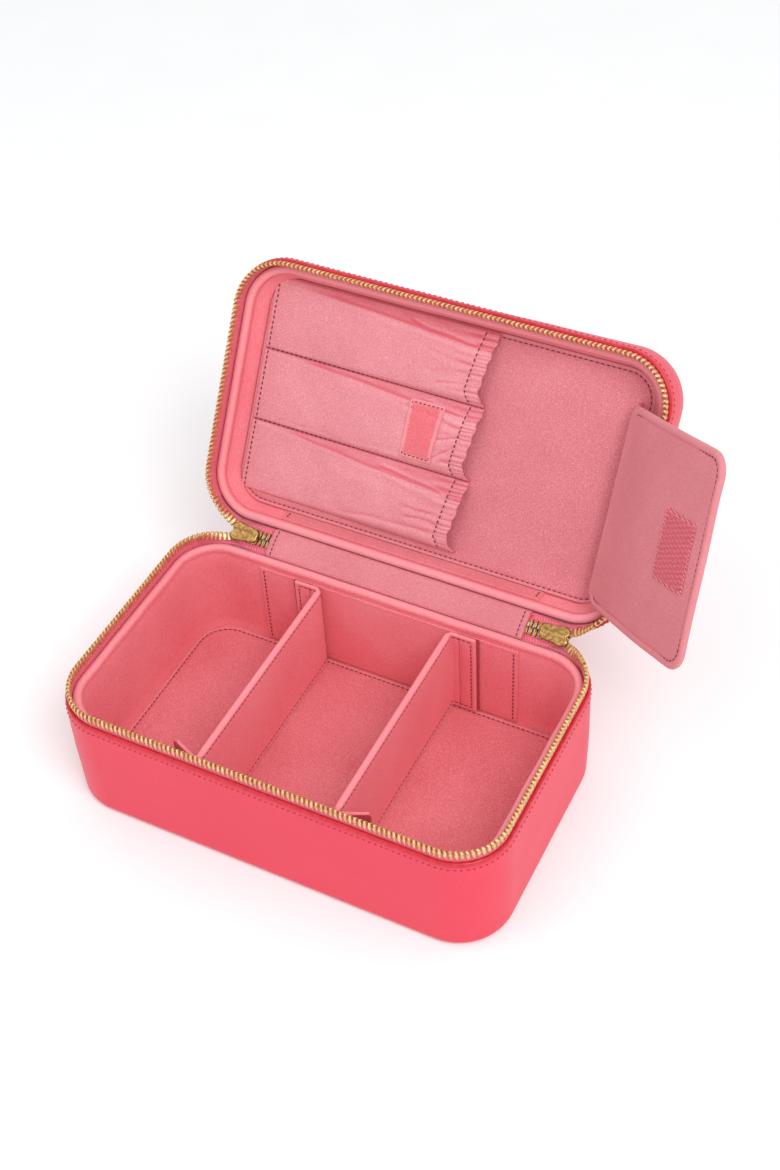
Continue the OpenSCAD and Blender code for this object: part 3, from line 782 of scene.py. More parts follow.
def back_strip(body, z0, z1, inset_at, place, material):
    """Lining cloth over the middle of the back wall, its ends turned in and sewn."""
    width, height, seam = 144, z1 - z0, 2.4

    def put(p):
        z = z0 + height * (p[:, 1] / height + 0.5)
        return place(columns(p[:, 0], CASE_D / 2 - inset_at(z) - p[:, 2] - 0.35, z))

    name = body + "_back_strip"
    piece = pad(name, (width, height), 0.5, 0.75, 0.5, material, put, count=(60, 14), lines=(1.2, seam, 3.6),
                top=lambda x, y, d: 0.12 * ripple(x * 1.6, y * 2, 5.0) - 0.12 * groove(d, seam, 0.7))
    keep(piece, body, "lining", body + "_back_lining")
    v = np.linspace(-height / 2 + 1.5, height / 2 - 1.5, 60)
    stitches(name + "_stitches", [sewing_line(put, columns(0 * v + side * (width / 2 - seam), v), 0.42)
                                  for side, _ in SIDES], body)


back_strip("base", 4.9, 57.4, lambda z: 7.7, on_base, WALL_LINING)
back_strip("lid", 81.3, 89.0, lambda z: 7.8 + (z - 81.3) * 0.31, on_lid, LINING)


# ---- floor and lid panels ---------------------------------------------------

def stitched_pad(name, body, node, size, radius, thick, row_in, material, put, seed, wave=0.18, pitch=2.7):
    """A pad with a sewn line round it, the cloth drawn in along the line."""
    dip = 0.16

    def top(x, y, d):
        return (wave * ripple(x * 1.2, y * 1.5, seed) * ease(row_in, row_in + 9, d)
                - dip * groove(d, row_in, 0.55) + 0.12 * groove(d, row_in + 2.4, 1.6))

    # painted highlight on the rounded edge outside the sewn line and painted shade in the dip along it
    def painted_light_and_selvedge(x, y, d):
        return -0.7 * (1 - ease(row_in - 0.9, row_in, d)) + 0.45 * groove(d, row_in, 0.8)

    piece = pad(name, size, radius, thick, 0.8, material, put, count=(70, 44), top=top, painted_light_and_selvedge=painted_light_and_selvedge,
                lines=[row_in + off for off in (-0.9, -0.35, 0, 0.4, 1.1, 2.6, 4.5)])
    keep(piece, body, "lining", node)
    line = outline(size, radius, row_in)
    stitches(name + "_stitches", [sewing_line(put, line, thick / 2 - dip)], body, pitch)


def on_panel(p):
    """x and y on the lid's inner face, z standing out of it."""
    return on_lid(columns(p[:, 0], p[:, 1], PANEL_Z - p[:, 2]))


stitched_pad("base_floor", "base", "base_floor_pad", (CASE_W - 18, CASE_D - 18), 18, 1.8, 2.1, LINING,
             lambda p: p + [0, 0, 3.8], 1.5)
stitched_pad("lid_panel", "lid", "pocket_panel", (CASE_W - 23.5, CASE_D - 21), 15.5, 2.2, 2.3,
             PANEL_LEATHER, lambda p: on_panel(p - [0, 0, 1.1]), 2.5, wave=0.25, pitch=2.8)


# ---- pockets -----------------------------------------------------------------

# Folds of each pocket, by its number: from (mm from the closed end, -1 to 1 across) to the same at
# the fold's other end, then its width and depth in mm.
FOLDS = {1: [(52, -0.5, 112, -0.24, 2.2, 0.3), (84, -0.18, 112, -0.06, 1.5, 0.3),
             (78, 0.34, 112, 0.2, 2.4, 0.25), (74, -0.78, 112, -0.5, 0.9, 0.35),
             (92, 0.66, 112, 0.5, 1.2, 0.3)],
         2: [(78, -0.56, 112, -0.34, 1.3, 0.4), (101, 0.66, 113, 0.2, 0.9, 0.5),
             (99, 0.1, 113, -0.12, 0.9, 0.4), (12, 0.9, 84, 0.72, 1.6, 0.25),
             (88, -0.78, 112, -0.6, 0.8, 0.35)],
         3: [(40, -0.62, 112, -0.1, 2.6, 0.4), (88, 0.06, 112, 0.06, 1.2, 0.3),
             (54, 0.76, 110, 0.56, 1.6, 0.4), (72, -0.72, 112, -0.46, 0.9, 0.35),
             (90, 0.34, 112, 0.3, 1.0, 0.3)]}
# Where a pocket's highest line lies across it, at its closed end and at its mouth.
CREST = {1: (-0.82, -0.46), 2: (-0.9, -0.58), 3: (-0.9, -0.4)}
HALF_POCKET = 18.4


def crease(a, b, a0, b0, a1, b1, width):
    """A fold in the cloth: 1 on the line between two places, fading at its ends."""
    dx, dy = a1 - a0, (b1 - b0) * HALF_POCKET
    length = math.hypot(dx, dy)
    along = ((a - a0) * dx + (b - b0) * HALF_POCKET * dy) / length
    off = ((a - a0) * dy - (b - b0) * HALF_POCKET * dx) / length
    return groove(off, 0, width) * ease(-2, 5, along) * (1 - ease(length - 5, length + 2, along))


def crest_at(a, seed):
    low, high = CREST[seed]
    t = np.clip(a / POCKET_L, 0, 1)
    return low + (high - low) * t + 0.03 * np.sin(a * 0.07 + seed) * t


def pocket_height(a, b, seed):
    """Height above the panel at a mm from the closed end and b from -1 to 1 across, towards the hinge."""
    full = 0.9 + 5.8 * (1 - (1 - np.clip(a / POCKET_L, 0, 1)) ** 1.45)
    crest = crest_at(a, seed)
    up = np.clip((b + 1) / (crest + 1), 0, 1)
    down = np.clip((b - crest) / (1 - crest), 0, 1)
    section = np.where(b < crest, 0.84 * up ** 0.8, 0.84 + 0.16 * np.sin(down * 2.2) - 0.22 * down ** 4)
    section = section * np.clip(1 - np.clip(b, 0, 1) ** 11, 0, 1) ** 0.6
    elastic = POCKET_L - ELASTIC
    h = full * section * (1 - 0.12 * groove(a, elastic, 1.6) - 0.06 * ease(POCKET_L - 9, POCKET_L, a))
    edge = np.clip((1 - np.abs(b)) / 0.16, 0, 1)
    for a0, b0, a1, b1, width, deep in FOLDS[seed]:
        wander = b + 0.035 * np.sin(a * 0.09 + seed + b0 * 5) + 0.015 * np.sin(a * 0.23 + a0)
        h = h - deep * crease(a, wander, a0, b0, a1, b1, width) * edge
        h = h + 0.7 * deep * crease(a, wander, a0, b0 + 0.15, a1, b1 + 0.15, width * 1.8) * edge
    slack = 0.16 * np.sin(a * 0.16 + b * 3 + seed * 2) + 0.12 * np.sin(a * 0.33 - b * 5 + seed)
    uneven = 0.65 + 0.35 * np.sin(b * 7 + seed * 2)
    pucker = np.abs(np.sin(b * 25 + 1.5 * np.sin(b * 5 + seed) + 0.06 * a)) ** 0.7 - 0.5
    gather = np.sin(b * 26 + seed + 0.05 * a)
    h = h + slack * edge * ease(4, 30, a)
    h = h + 0.62 * uneven * pucker * edge * ease(elastic - 1.5, elastic + 1.5, a)
    h = h + 0.22 * uneven * gather * edge * ease(POCKET_L - 24, elastic, a)
    return h.clip(0.3, 7.6)


def pocket_x(a):
    """x of a place a mm from the closed end, the end itself drawn out a little."""
    return POCKET_X0 + a - 2.6 * (1 - ease(0, 14, a))


def brush_pocket(name, row, seed, *nodes):
    """A sleeve with a gathered mouth. Gives its surface, which takes (mm from the closed end, -1 to 1
    across, height above the cloth)."""
    def put(p):
        a, b = p[:, 0], p[:, 1]
        skew = np.clip((b + 1) / 1.65, 0, 1) ** 1.1 * np.clip((1 - b) / 0.35, 0, 1) ** 0.7
        pull = -4.0 * skew * ease(POCKET_L - 34, POCKET_L - 4, a)
        edge = 0.35 * np.sin(b * 17 + seed) * ease(POCKET_L - 3.5, POCKET_L, a)
        y = POCKET_Y + row * POCKET_PITCH + b * (POCKET_PITCH - 0.3) / 2
        return on_panel(columns(pocket_x(a) + pull + edge, y, pocket_height(a, b, seed) + p[:, 2]))

    a = np.concatenate((np.linspace(0, 3, 7)[:-1], np.linspace(3, POCKET_L - 14, 124)[:-1],
                        np.linspace(POCKET_L - 14, POCKET_L, 42)))
    close = 0.93 * math.pi / 2
    b = np.sin(np.linspace(-close, close, 111)) / math.sin(0.5 * math.pi * 0.93)

    def shaded(column, r):
        """Painted shade above the crest, along the seams and in the folds, painted light on the crests."""
        u, v = a[column], b[r]
        off = v - crest_at(u, seed)
        above = (1 - ease(-0.1, 0.06, off)) * ease(0, 30, u)
        hollow = ((pocket_height(u, v + 0.05, seed) + pocket_height(u, v - 0.05, seed)) / 2
                  - pocket_height(u, v, seed))
        seam = ease(0.84, 0.97, v) * ease(10, 70, u)
        brow = groove(off, -0.05, 0.045) * ease(8, 40, u) * (1 - 0.4 * ease(80, 110, u))
        return (0.55 * above + 0.6 * brow + np.clip(hollow * 4.5, -0.35, 0.75) + 0.6 * seam
                - 0.3 * groove(off, 0.12, 0.1) * ease(20, 60, u))

    piece = sheet(name, len(a) - 1, len(b) - 1,
                  lambda column, r: put(columns(a[column], b[r], 0 * b[r])),
                  POCKET_LEATHER, lambda column, r: columns(a[column], b[r] * 18), shaded)
    thicken(piece, 0.9)
    close_up(piece, 50)
    keep(piece, "lid", "lining", *nodes)
    return put


POCKETS = [brush_pocket("pocket_front", -1, 1, "brush_pocket_front"),
           brush_pocket("pocket_middle", 0, 2, "brush_pocket_middle", "pocket_elastics"),
           brush_pocket("pocket_back", 1, 3, "brush_pocket_back")]


def pocket_stitches():
    """Rows at both ends of each pocket and along the two seams between them."""
    b = np.linspace(-0.96, 0.96, 90)
    rows = [sewing_line(put, columns(0 * b + a, b), 0.5)
            for put in POCKETS for a in (1.8, POCKET_L - ELASTIC)]
    a = np.linspace(0.5, POCKET_L - 0.5, 160)
    for k in (-0.5, 0.5):
        line = columns(pocket_x(a), 0 * a + POCKET_Y + k * POCKET_PITCH)
        rows.append(sewing_line(on_panel, line, 1.35))
    stitches("pocket_stitches", rows, "lid", radius=0.36)


pocket_stitches()


def loop_square():
    """Patch of loop fabric sewn on the middle pocket."""
    size, seam = (19, 29.5), 1.5

    def lay(p):
        return POCKETS[1](columns(POCKET_L - 28.0 + p[:, 0], p[:, 1] / HALF_POCKET, p[:, 2] + 0.95))

    piece = pad("loop_square", size, 1.2, 0.9, 0.4, LOOP, lay, count=(24, 38), lines=(1.0, seam, 2.0),
                top=lambda x, y, d: -0.16 * groove(d, seam, 0.4),
                painted_light_and_selvedge=lambda x, y, d: -(1 - ease(1.7, 2.3, d)))
    keep(piece, "lid", "hook_fabric", "loop_patch")
    stitches("loop_square_stitches", [sewing_line(lay, outline(size, 1.2, seam), 0.38)], "lid", 2.3, 1.5,
             slot="hook_fabric")


loop_square()


# ---- brush flap ----------------------------------------------------------------

def flap_bend(p):
    """p is (mm from the hinge along the flap, mm along the hinge, height; the hook side is below).
    The flap curls over at its root and bows a little along its length."""
    over = np.clip(10 - p[:, 0], 0, 11)
    v = p[:, 1] * (1 + (11 - np.sqrt(121 - over ** 2)) / FLAP_HALF * np.where(p[:, 1] < 0, 0.85, 0.4))
    u = p[:, 0] * (1 + 0.032 * v / FLAP_HALF)
    bow = (0.5 * ripple(u * 1.2, v * 1.1, 6.0) * ease(4, 20, u) + 0.9 * (v / FLAP_HALF) ** 2 * ease(10, 70, u)
           - 1.6 * np.sin(np.pi * np.clip(u / FLAP_W, 0, 1)))
    h = p[:, 2] + bow * ease(0, 12, u)
    c, s = math.cos(FLAP_TILT), math.sin(FLAP_TILT)
    return on_lid(columns(FLAP_X + u * c + h * s, FLAP_Y + v, FLAP_Z - u * s + h * c))


def flap():
    length = FLAP_W + 1.0
    size, seam = (length, 2 * FLAP_HALF), 3.6

    def put(p):
        return flap_bend(p + [length / 2 - 1.0, 0, 0])

    def hemmed(x):
        """0 beside the fold, where the leather goes on."""
        return ease(-length / 2 + 2, -length / 2 + 7, x)

    def face(x, y, d):
        hem = 0.25 * groove(d, 1.6, 1.1) - 0.28 * groove(d, seam, 0.5)
        return hem * hemmed(x) + 0.1 * ripple(x * 2, y * 2, 7.0)

    # painted shade along the sewn line, painted light on the rounded edge outside it and towards the fold at
    # the root
    def painted_light_and_selvedge(x, y, d):
        return (hemmed(x) * (0.4 * groove(d, 3.7, 0.6) - 0.45 * (1 - ease(2.6, 3.4, d)))
                - 0.35 * (1 - ease(2, 16, x + length / 2)))

    piece = pad("flap_leather_cover", size, 11, FLAP_T, 1.3, FLAP_LEATHER, put, count=(56, 56),
                lines=(2.4, 3.1, seam, 4.1, 5.0), top=face, bottom=face, painted_light_and_selvedge=painted_light_and_selvedge)
    keep(piece, "brush_flap", "flap_leather", "flap_cover", "flap_edging", "flap_roll")
    stiff = pad("flap_stiffening_board", (length - 12, 2 * FLAP_HALF - 12), 6, 0.9, 0.3, BOARD,
                lambda p: flap_bend(p + [length / 2, 0, 0]), count=(40, 40))
    keep(stiff, "brush_flap", "board", "flap_board")
    line = outline(size, 11, seam)
    line = line[line[:, 0] > -length / 2 + 6]
    line = line[np.argsort(np.arctan2(line[:, 1], line[:, 0]))]
    stitches("flap_stitches", [sewing_line(put, line, side * 1.0, side) for side, _ in SIDES],
             "brush_flap", 2.6, 1.85, slot="flap_leather")


def hook_square():
    """Patch of hooks under slanting rows of zigzag sewing, its edges frayed."""
    size, middle = (24, 30), 68.1

    def put(p):
        return flap_bend(p * [1, 1, -1] + [middle, 0, -FLAP_T / 2])

    def rib(x, y):
        return np.abs(((x * 0.35 + y + 0.5 * np.sin(x * 2.2)) / 2.3) % 1.0 - 0.5) * 2

    # the attribute follows the rows' height: painted shade in the hollows between them, painted light on
    # their tops
    piece = pad("hook_square", size, 0.8, 0.8, 0.4, HOOK, put, count=(52, 84), lines=(0.8, 1.2),
                top=lambda x, y, d: 0.3 * rib(x, y), painted_light_and_selvedge=lambda x, y, d: 0.9 - 1.5 * rib(x, y))
    keep(piece, "brush_flap", "hook_fabric", "flap_hook_patch")
    edge = outline(size, 0.8)
    at = np.arange(0, run_of(edge)[-1], 0.55)
    saw = np.where(np.arange(len(at)) % 2 == 0, -0.55, 0.75) + 0.25 * np.sin(at * 3.7)
    zigzag = walk(edge, at) * (1 + saw / 14)[:, None]
    stitches("hook_square_stitches", [sewing_line(put, zigzag, 0.35)], "brush_flap", 1.15, 1.25, 0.24,
             "hook_fabric", PALE_THREAD)


def flap_root():
    """The flap's leather goes on past the fold and is sewn down beside the panel."""
    def put(p):
        return on_lid(columns(FLAP_X + p[:, 2], FLAP_Y + p[:, 1], FLAP_Z + 7.6 + p[:, 0]))

    piece = pad("flap_fold_strip", (10.4, 2 * FLAP_HALF - 1), 1.5, 2.0, 0.9, FLAP_LEATHER, put,
                count=(10, 60), lines=(1.6,), top=lambda x, y, d: 0.15 * ripple(x * 3, y * 2, 8.0))
    keep(piece, "lid", "flap_leather", "flap_root")


flap()
hook_square()
flap_root()


# ---- dividers -------------------------------------------------------------------

def divider(side, word):
    """A board in lining cloth, its two ends folded along the case's walls, in one piece."""
    bend_r = 2.2
    turn = math.pi / 2 * bend_r
    half_main = (DIV_Y1 - DIV_Y0 - FLANGE_T) / 2 - bend_r
    arm = FLANGE_L - bend_r - DIV_T / 2
    half = half_main + turn + arm
    fold_in = arm - 3.4
    fold = half - fold_in
    size, seam = (2 * half, DIVIDER_H), 2.6
    body, name = "divider_" + word, "divider_%s_pad" % word

    def put(p):
        """p is (mm along the C from its middle, mm up it, height above its middle line)."""
        u = np.abs(p[:, 0])
        way = np.where(p[:, 0] < 0, -1, 1)
        w = np.clip(u - half_main, 0, turn) / bend_r
        x = bend_r - bend_r * np.cos(w) + np.maximum(u - half_main - turn, 0) - np.cos(w) * p[:, 2]
        y = (DIV_Y0 + DIV_Y1) / 2 + way * (np.minimum(u, half_main) + np.sin(w) * (bend_r + p[:, 2]))
        loose = np.clip((arm - half - p[:, 0]) / arm, 0, 1)
        return columns(side * (DIVIDER_X + x), y + loose * 4.6 + loose ** 2 * 0.6,
                       DIVIDER_Z + p[:, 1] + DIVIDER_H / 2)

    def thick(x, y, d):
        return DIV_T - (DIV_T - FLANGE_T) * ease(half_main - 1, half_main + turn * 0.6, np.abs(x))

    def face(x, y, d):
        line = -0.2 * groove(d, seam, 0.45) + 0.16 * groove(d, 1.1, 0.9)
        line = line - 0.3 * groove(np.abs(x), fold, 0.35) * ease(1, 3, d)
        slack = ripple(x * 1.1, y * 1.4, 9.0 + side) * ease(3, 10, d)
        return line + 0.22 * slack * ease(half_main, half_main - 8, np.abs(x))

    # painted shade in the dips along the sewn line and the fold, painted light on the rounded edges
    def painted_light_and_selvedge(x, y, d):
        return (0.45 * groove(d, seam, 0.5) - 0.5 * (1 - ease(1.2, 2.2, d))
                + 0.8 * groove(np.abs(x), fold, 0.4))

    piece = pad(name, size, 1.2, thick, 1.1, WALL_LINING, put, count=(110, 26), top=face, bottom=face,
                lines=(1.7, 2.2, seam, 3.1, 4.2, fold_in - 0.5, fold_in, fold_in + 0.5), painted_light_and_selvedge=painted_light_and_selvedge)
    keep(piece, body, "lining", body + "_cover")
    tight = []
    corners = outline(size, 1.2, seam)
    for here, there in zip(corners[:-1], corners[1:]):
        n = max(2, int(np.hypot(*(there - here)) / 1.2))
        tight.append(here + (there - here) * np.linspace(0, 1, n, endpoint=False)[:, None])
    line = np.vstack(tight)
    top = thick(line[:, 0], 0, 0) / 2 - 0.2
    stitches(name + "_stitches", [sewing_line(put, line, way * top, way) for way, _ in SIDES], body,
             length=1.85)
    for end, where in ((-1, "front"), (1, "back")):
        hook_strip(put, side, end, half - 4.6, "%s_hook_strip_%s" % (body, where), body)


def hook_strip(put, side, end, at, name, body):
    """Strip of hooks on the back of one flange, a little wider than it, with a frayed edge."""
    def lay(p):
        line = columns(end * at + p[:, 0], p[:, 1])
        flat, out = sewing_line(put, line, 0.0)
        fray = 0.2 * np.sin(p[:, 1] * 7.1) + 0.15 * np.sin(p[:, 1] * 17.3)
        flat[:, 0] += side * fray * ease(4, 5.6, p[:, 0] * end)
        return flat + out * (FLANGE_T / 2 + 0.32 + p[:, 2])[:, None]

    strip = pad(name, (11.4, DIVIDER_H - 1.2), 0.6, 0.66, 0.3, RED_HOOK, lay, count=(10, 90),
                top=lambda x, y, d: 0.12 * np.sin(y * 5) * np.sin(x * 5))
    keep(strip, body, "hook_fabric", body + "_hooks")


for side, word in SIDES:
    divider(side, word)


# ---- zip ------------------------------------------------------------------------

TOOTH_FOOT = ZIP_Z - TOOTH_DROP
STRIP_WAY = np.array([0, math.sin(STRIP_ANGLE), math.cos(STRIP_ANGLE)])
STRIP_IN = np.array([0, -math.cos(STRIP_ANGLE), math.sin(STRIP_ANGLE)])


def strip_point(x, y, z):
    """A point drawn with the case closed: y from the hinge line, z from the zip's centre."""
    x, y, z = np.broadcast_arrays(np.asarray(x, float), y, z)
    flat = columns(x.ravel(), LID_PIVOT[0] + y.ravel(), ZIP_Z + z.ravel())
    return turned(flat, FOLD_LOW, STRIP_ANGLE)


STRIP_MIDDLE = strip_point(0, -4.3, 0)[0]


def other_half(points):
    """From the base's side of the hinge strip to the lid's."""
    return points - 2 * ((points - STRIP_MIDDLE) @ STRIP_WAY)[:, None] * STRIP_WAY


HALVES = {"base": on_base, "lid": other_half}


def across_fold(half, before, after):
    """The two that a piece bends between, and where, in mm from the hinge strip's middle."""
    start, end = (HALVES[half]((STRIP_MIDDLE + STRIP_WAY * at)[None])[0] * MM for at in (before, after))
    return half, "hinge_strip", start, end


def tooth():
    """One metal tooth: a clasp over the tape's edge, narrowing to a crooked nib, in mm, foot at z 0."""
    bpy.ops.object.select_all(action="DESELECT")
    bpy.ops.mesh.primitive_cube_add(size=2)
    unit = bpy.context.object
    bpy.ops.object.mode_set(mode="EDIT")
    bpy.ops.mesh.select_all(action="SELECT")
    bpy.ops.mesh.subdivide(number_cuts=1)
    bpy.ops.object.mode_set(mode="OBJECT")
    for v in unit.data.vertices:
        x, y, z = (round(c) for c in v.co)
        wide, deep, high = ((0.66, 1.0, -1.3), (0.74, 1.18, 1.6), (0.5, 0.74, 2.75))[z + 1]
        v.co = (x * wide + (0.5 if y == 0 else -0.2), y * deep, high + (0.25 if z == 1 and y == 0 else 0))
    wear_and_shade = unit.modifiers.new("wear_and_shade", "BEVEL")
    wear_and_shade.width, wear_and_shade.segments, wear_and_shade.limit_method, wear_and_shade.angle_limit = 0.13, 1, "ANGLE", math.radians(28)
    bpy.ops.object.modifier_apply(modifier="wear_and_shade")
    return unit


def teeth(name, points, ups, shift):
    """Teeth along a polyline, standing along ups."""
    at, ahead = (spaced(columns(points, ups), TOOTH_PITCH, ends) for ends in (shift, shift + 0.06))
    way = unit_vectors(ahead[:, :3] - at[:, :3])
    way[-1] = way[-2]
    up = unit_vectors(at[:, 3:])
    side = unit_vectors(np.cross(up, way))
    return repeated(name, tooth(), at[:, :3], way, side, np.cross(way, side), BRASS)


ZIP_TURN = math.radians(50)
ZIP_START = LONG + CORNER * ZIP_TURN


def zip_row(half, place, shift):
    """Tape and teeth of one half, as far as they stay with it."""
    point, normal = plan_at(np.linspace(ZIP_START, PLAN_LENGTH - ZIP_START, 900))
    foot, out = sewing_line(place, point - normal * ZIP_INSET, TOOTH_FOOT)
    keep(teeth(half + "_zip_teeth", foot, out, shift), half, "brass", half + "_zip_teeth")
    line = rounded([(1.98, 57.4), (1.98, 66.2), (2.0, TOOTH_FOOT + 0.5, 0.3), (2.9, TOOTH_FOOT + 0.5, 0.3),
                    (2.92, 66.2), (2.92, 57.4)], 3)
    tape = ring(half + "_zip_tape", line, TAPE, place, start=ZIP_START - 0.6, steps=320)
    keep(tape, half, "zip_tape", half + "_zip_tape")


zip_row("base", on_base, 0.5)
zip_row("lid", on_lid_flipped, 0.0)


def zip_end(side, word, half):
    """The rest of a row: off the corner and down into the slider, where it turns with the strip."""
    radius = CORNER - ZIP_INSET
    p0 = np.array([LONG + radius * math.sin(ZIP_TURN), SHORT + radius * math.cos(ZIP_TURN), TOOTH_FOOT])
    t0 = np.array([-math.cos(ZIP_TURN), math.sin(ZIP_TURN), 0])
    p1 = strip_point(92.6, CHAIN_Y, -4.0)[0]
    t1 = unit_vectors(np.array([-1.0, 0, 0]) + 0.35 * STRIP_WAY)
    t = np.linspace(0, 1, 60)[:, None]
    mix = ease(0, 1, t)
    pull = (t ** 3 - 2 * t ** 2 + t) * t0 + (t ** 3 - t ** 2) * t1 * 0.9
    path = (1 - mix) * p0 + mix * p1 + pull * np.linalg.norm(p1 - p0)
    ups = unit_vectors((1 - mix) * np.array([0, 0, 1.0]) + mix * STRIP_WAY)

    def put(points):
        return HALVES[half](points * [side, 1, 1])

    bends = across_fold(half, -STRIP_HALF - 2.0, -STRIP_HALF + 3.4)
    piece = teeth("%s_zip_teeth_%s" % (half, word), put(path), put(path + ups) - put(path),
                  0.5 if half == "base" else 0.9)
    keep(piece, bends, "brass")

    # the tape under these teeth, then on beside the slider as far as the hinge strip
    end_x, foot_y, foot_z = STRIP_W / 2 - 1.1, 67.0, 60.0
    x = np.linspace(91.5, end_x, 16)
    beside = strip_point(x, CHAIN_Y, np.interp(x, [70, 80, 91], [-2.6, -2.6, -3.6]))
    top = np.vstack((path + ups * 0.4, beside))
    corner, normal = plan_at(np.linspace(ZIP_START, LONG + 4, 44))
    straight = np.linspace(LONG + 3.4, end_x, len(top) - 44)
    low = np.vstack((corner - normal * ZIP_INSET, columns(straight, 0 * straight + foot_y)))
    low = columns(low[:, 0], np.minimum(low[:, 1], foot_y), np.full(len(top), foot_z))

    def lay(column, row):
        v = row[:, None] / 8
        return put(top[column] * (1 - v) + low[column] * v - STRIP_IN * np.sin(np.pi * v) * 0.5)

    tape = sheet("%s_zip_tape_%s" % (half, word), len(top) - 1, 8, lay, TAPE,
                 lambda column, row: columns(column * 0.75, row * 0.8))
    thicken(tape, 0.7)
    close_up(tape, 50)
    keep(tape, bends, "zip_tape")


for half in HALVES:
    for side, word in SIDES:
        zip_end(side, word, half)


# ---- sliders and pulls ------------------------------------------------------------

def circle(count):
    """Cosines and sines once round."""
    a = np.linspace(0, 2 * math.pi, count, endpoint=False)
    return np.cos(a), np.sin(a)


def squared(v, power):
    """Values from -1 to 1, pushed out towards both ends."""
    return np.sign(v) * np.abs(v) ** power


def plate(name, edge, rows, put, relief=None):
    """A flat part with a star-shaped edge. rows are (scale, height) from the middle of one face round to
    the middle of the other; relief adds to the first face's height."""
    middle = edge.mean(axis=0)
    edge = np.vstack((edge, edge[:1]))
    scale, height = np.array(rows).T

    def lay(column, row):
        k, h = scale[row], height[row]
        flat = middle + (edge[column] - middle) * k[:, None]
        if relief:
            h = h + np.where(row < len(rows) // 2, relief(flat[:, 0], flat[:, 1]) * (k < 0.97), 0)
        return put(columns(flat, h))

    return close_up(sheet(name, len(edge) - 1, len(rows) - 1, lay, SLIDER_BRASS), 35)


def slider_edge():
    """Outline of a slider: two lobes at the mouth end, waisted, then a straight tail. x 0 to 13.5."""
    c, s = circle(72)
    x = 6.75 + 6.75 * squared(c, 0.55)
    wide = np.interp(x, [0, 1.2, 6, 8.5, 10.4, 12.6, 13.5], [3.6, 4.1, 4.0, 4.7, 5.2, 4.8, 3.6])
    y = wide * squared(s, 0.45)
    return columns(x - 1.3 * groove(y, 0, 1.5) * ease(10.5, 13.2, x), y)


FACE_ROWS = [(0, 1.2), (0.3, 1.2), (0.55, 1.2), (0.72, 1.18), (0.82, 1.3), (0.9, 1.32), (0.96, 1.15),
             (1, 0.8), (1, 0.2), (0.97, 0), (0.5, 0), (0, 0)]
POST_ROWS = [(0, 3.6), (0.9, 3.6), (1, 3.5), (1, 0.0), (0.9, -0.1), (0, -0.1)]
LIP_ROWS = [(0, 0.95), (0.85, 0.95), (1, 0.8), (1, 0), (0.9, -0.1), (0, -0.1)]
BAIL = np.array([(3.2, -0.6), (3.0, 0.7), (3.35, 1.7), (4.3, 2.25), (6.5, 2.45), (8.7, 2.25), (9.65, 1.7),
                 (10.0, 0.7), (9.8, -0.6)])
BAIL_R = 0.58


def slider(side, word):
    """Two plates on a post, with flanges and a bail, and the meshed chain behind them."""
    name = "slider_%s_" % word

    def at_height(y0, way):
        return lambda p: strip_point(SLIDER_X + p[:, 0], y0 + way * p[:, 2], p[:, 1]) * [side, 1, 1]

    def lengthened(y0, way):
        return lambda p: at_height(y0, way)(p * [1.15, 1, 1] - [2.0, 0, 0])

    def ridge(x, y):
        return (0.55 * groove(y, 0, 1.1) * ease(12.6, 9.5, x) * ease(0.8, 3.0, x)
                - 0.12 * ease(2, 0, np.abs(x - 6)))

    # the plates, the wedge between the rows, and the turned-in flanges beside the tail
    c, s = circle(24)
    wedge = columns(11.2 + 1.5 * c, 1.15 * s * (0.75 + 0.25 * c))
    pieces = [plate(name + "inner", slider_edge(), FACE_ROWS, lengthened(SLIDER_IN, -1), ridge),
              plate(name + "outer", slider_edge(), FACE_ROWS, lengthened(SLIDER_OUT, 1), ridge),
              plate(name + "post", wedge, POST_ROWS, at_height(SLIDER_IN, 1))]
    for way, _ in SIDES:
        lip = columns(3.9 + 3.9 * squared(c, 0.4), way * (3.72 + 0.42 * squared(s, 0.4)))
        pieces += [plate(name + "flange", lip, LIP_ROWS, lengthened(y0, turn))
                   for y0, turn in ((SLIDER_IN - 0.1, 1), (SLIDER_OUT + 0.1, -1))]
    # the bail on the outer plate: a bowed wire
    wire = smoothed(np.column_stack([np.interp(np.linspace(0, 8, 33), range(9), v) for v in BAIL.T]), 2)
    along = unit_vectors(np.gradient(wire, axis=0))
    across = columns(-along[:, 1], along[:, 0])

    def round_wire(column, row):
        a = column * 2 * math.pi / 12
        x, h = (wire[row] + across[row] * BAIL_R * np.cos(a)[:, None]).T
        return at_height(-0.5, 1)(columns(x, BAIL_R * np.sin(a), h))

    pieces.append(close_up(sheet(name + "bail", 12, 32, round_wire, SLIDER_BRASS), 50))
    keep(joined(name + "case", pieces), "hinge_strip", "brass", name + "body")

    # the meshed chain between the slider and the hinge strip
    chain = []
    for ends, up in ((0, 1), (0.5, -1)):
        x = np.arange(STRIP_W / 2 + 0.6 + ends * TOOTH_PITCH, SLIDER_X - 0.9, TOOTH_PITCH)
        foot = strip_point(x, CHAIN_Y, -TOOTH_DROP * up) * [side, 1, 1]
        ups, way = np.tile(STRIP_WAY * up, (len(x), 1)), np.tile([1.0, 0, 0], (len(x), 1))
        unit = tooth()
        unit.data.transform(Matrix.Diagonal((0.8, 1, 1, 1)))
        chain.append(repeated("chain", unit, foot, way, np.cross(ups, way), ups, SLIDER_BRASS))
    keep(joined("zip_chain_" + word, chain), "hinge_strip", "brass", name + "chain")


for side, word in SIDES:
    slider(side, word)

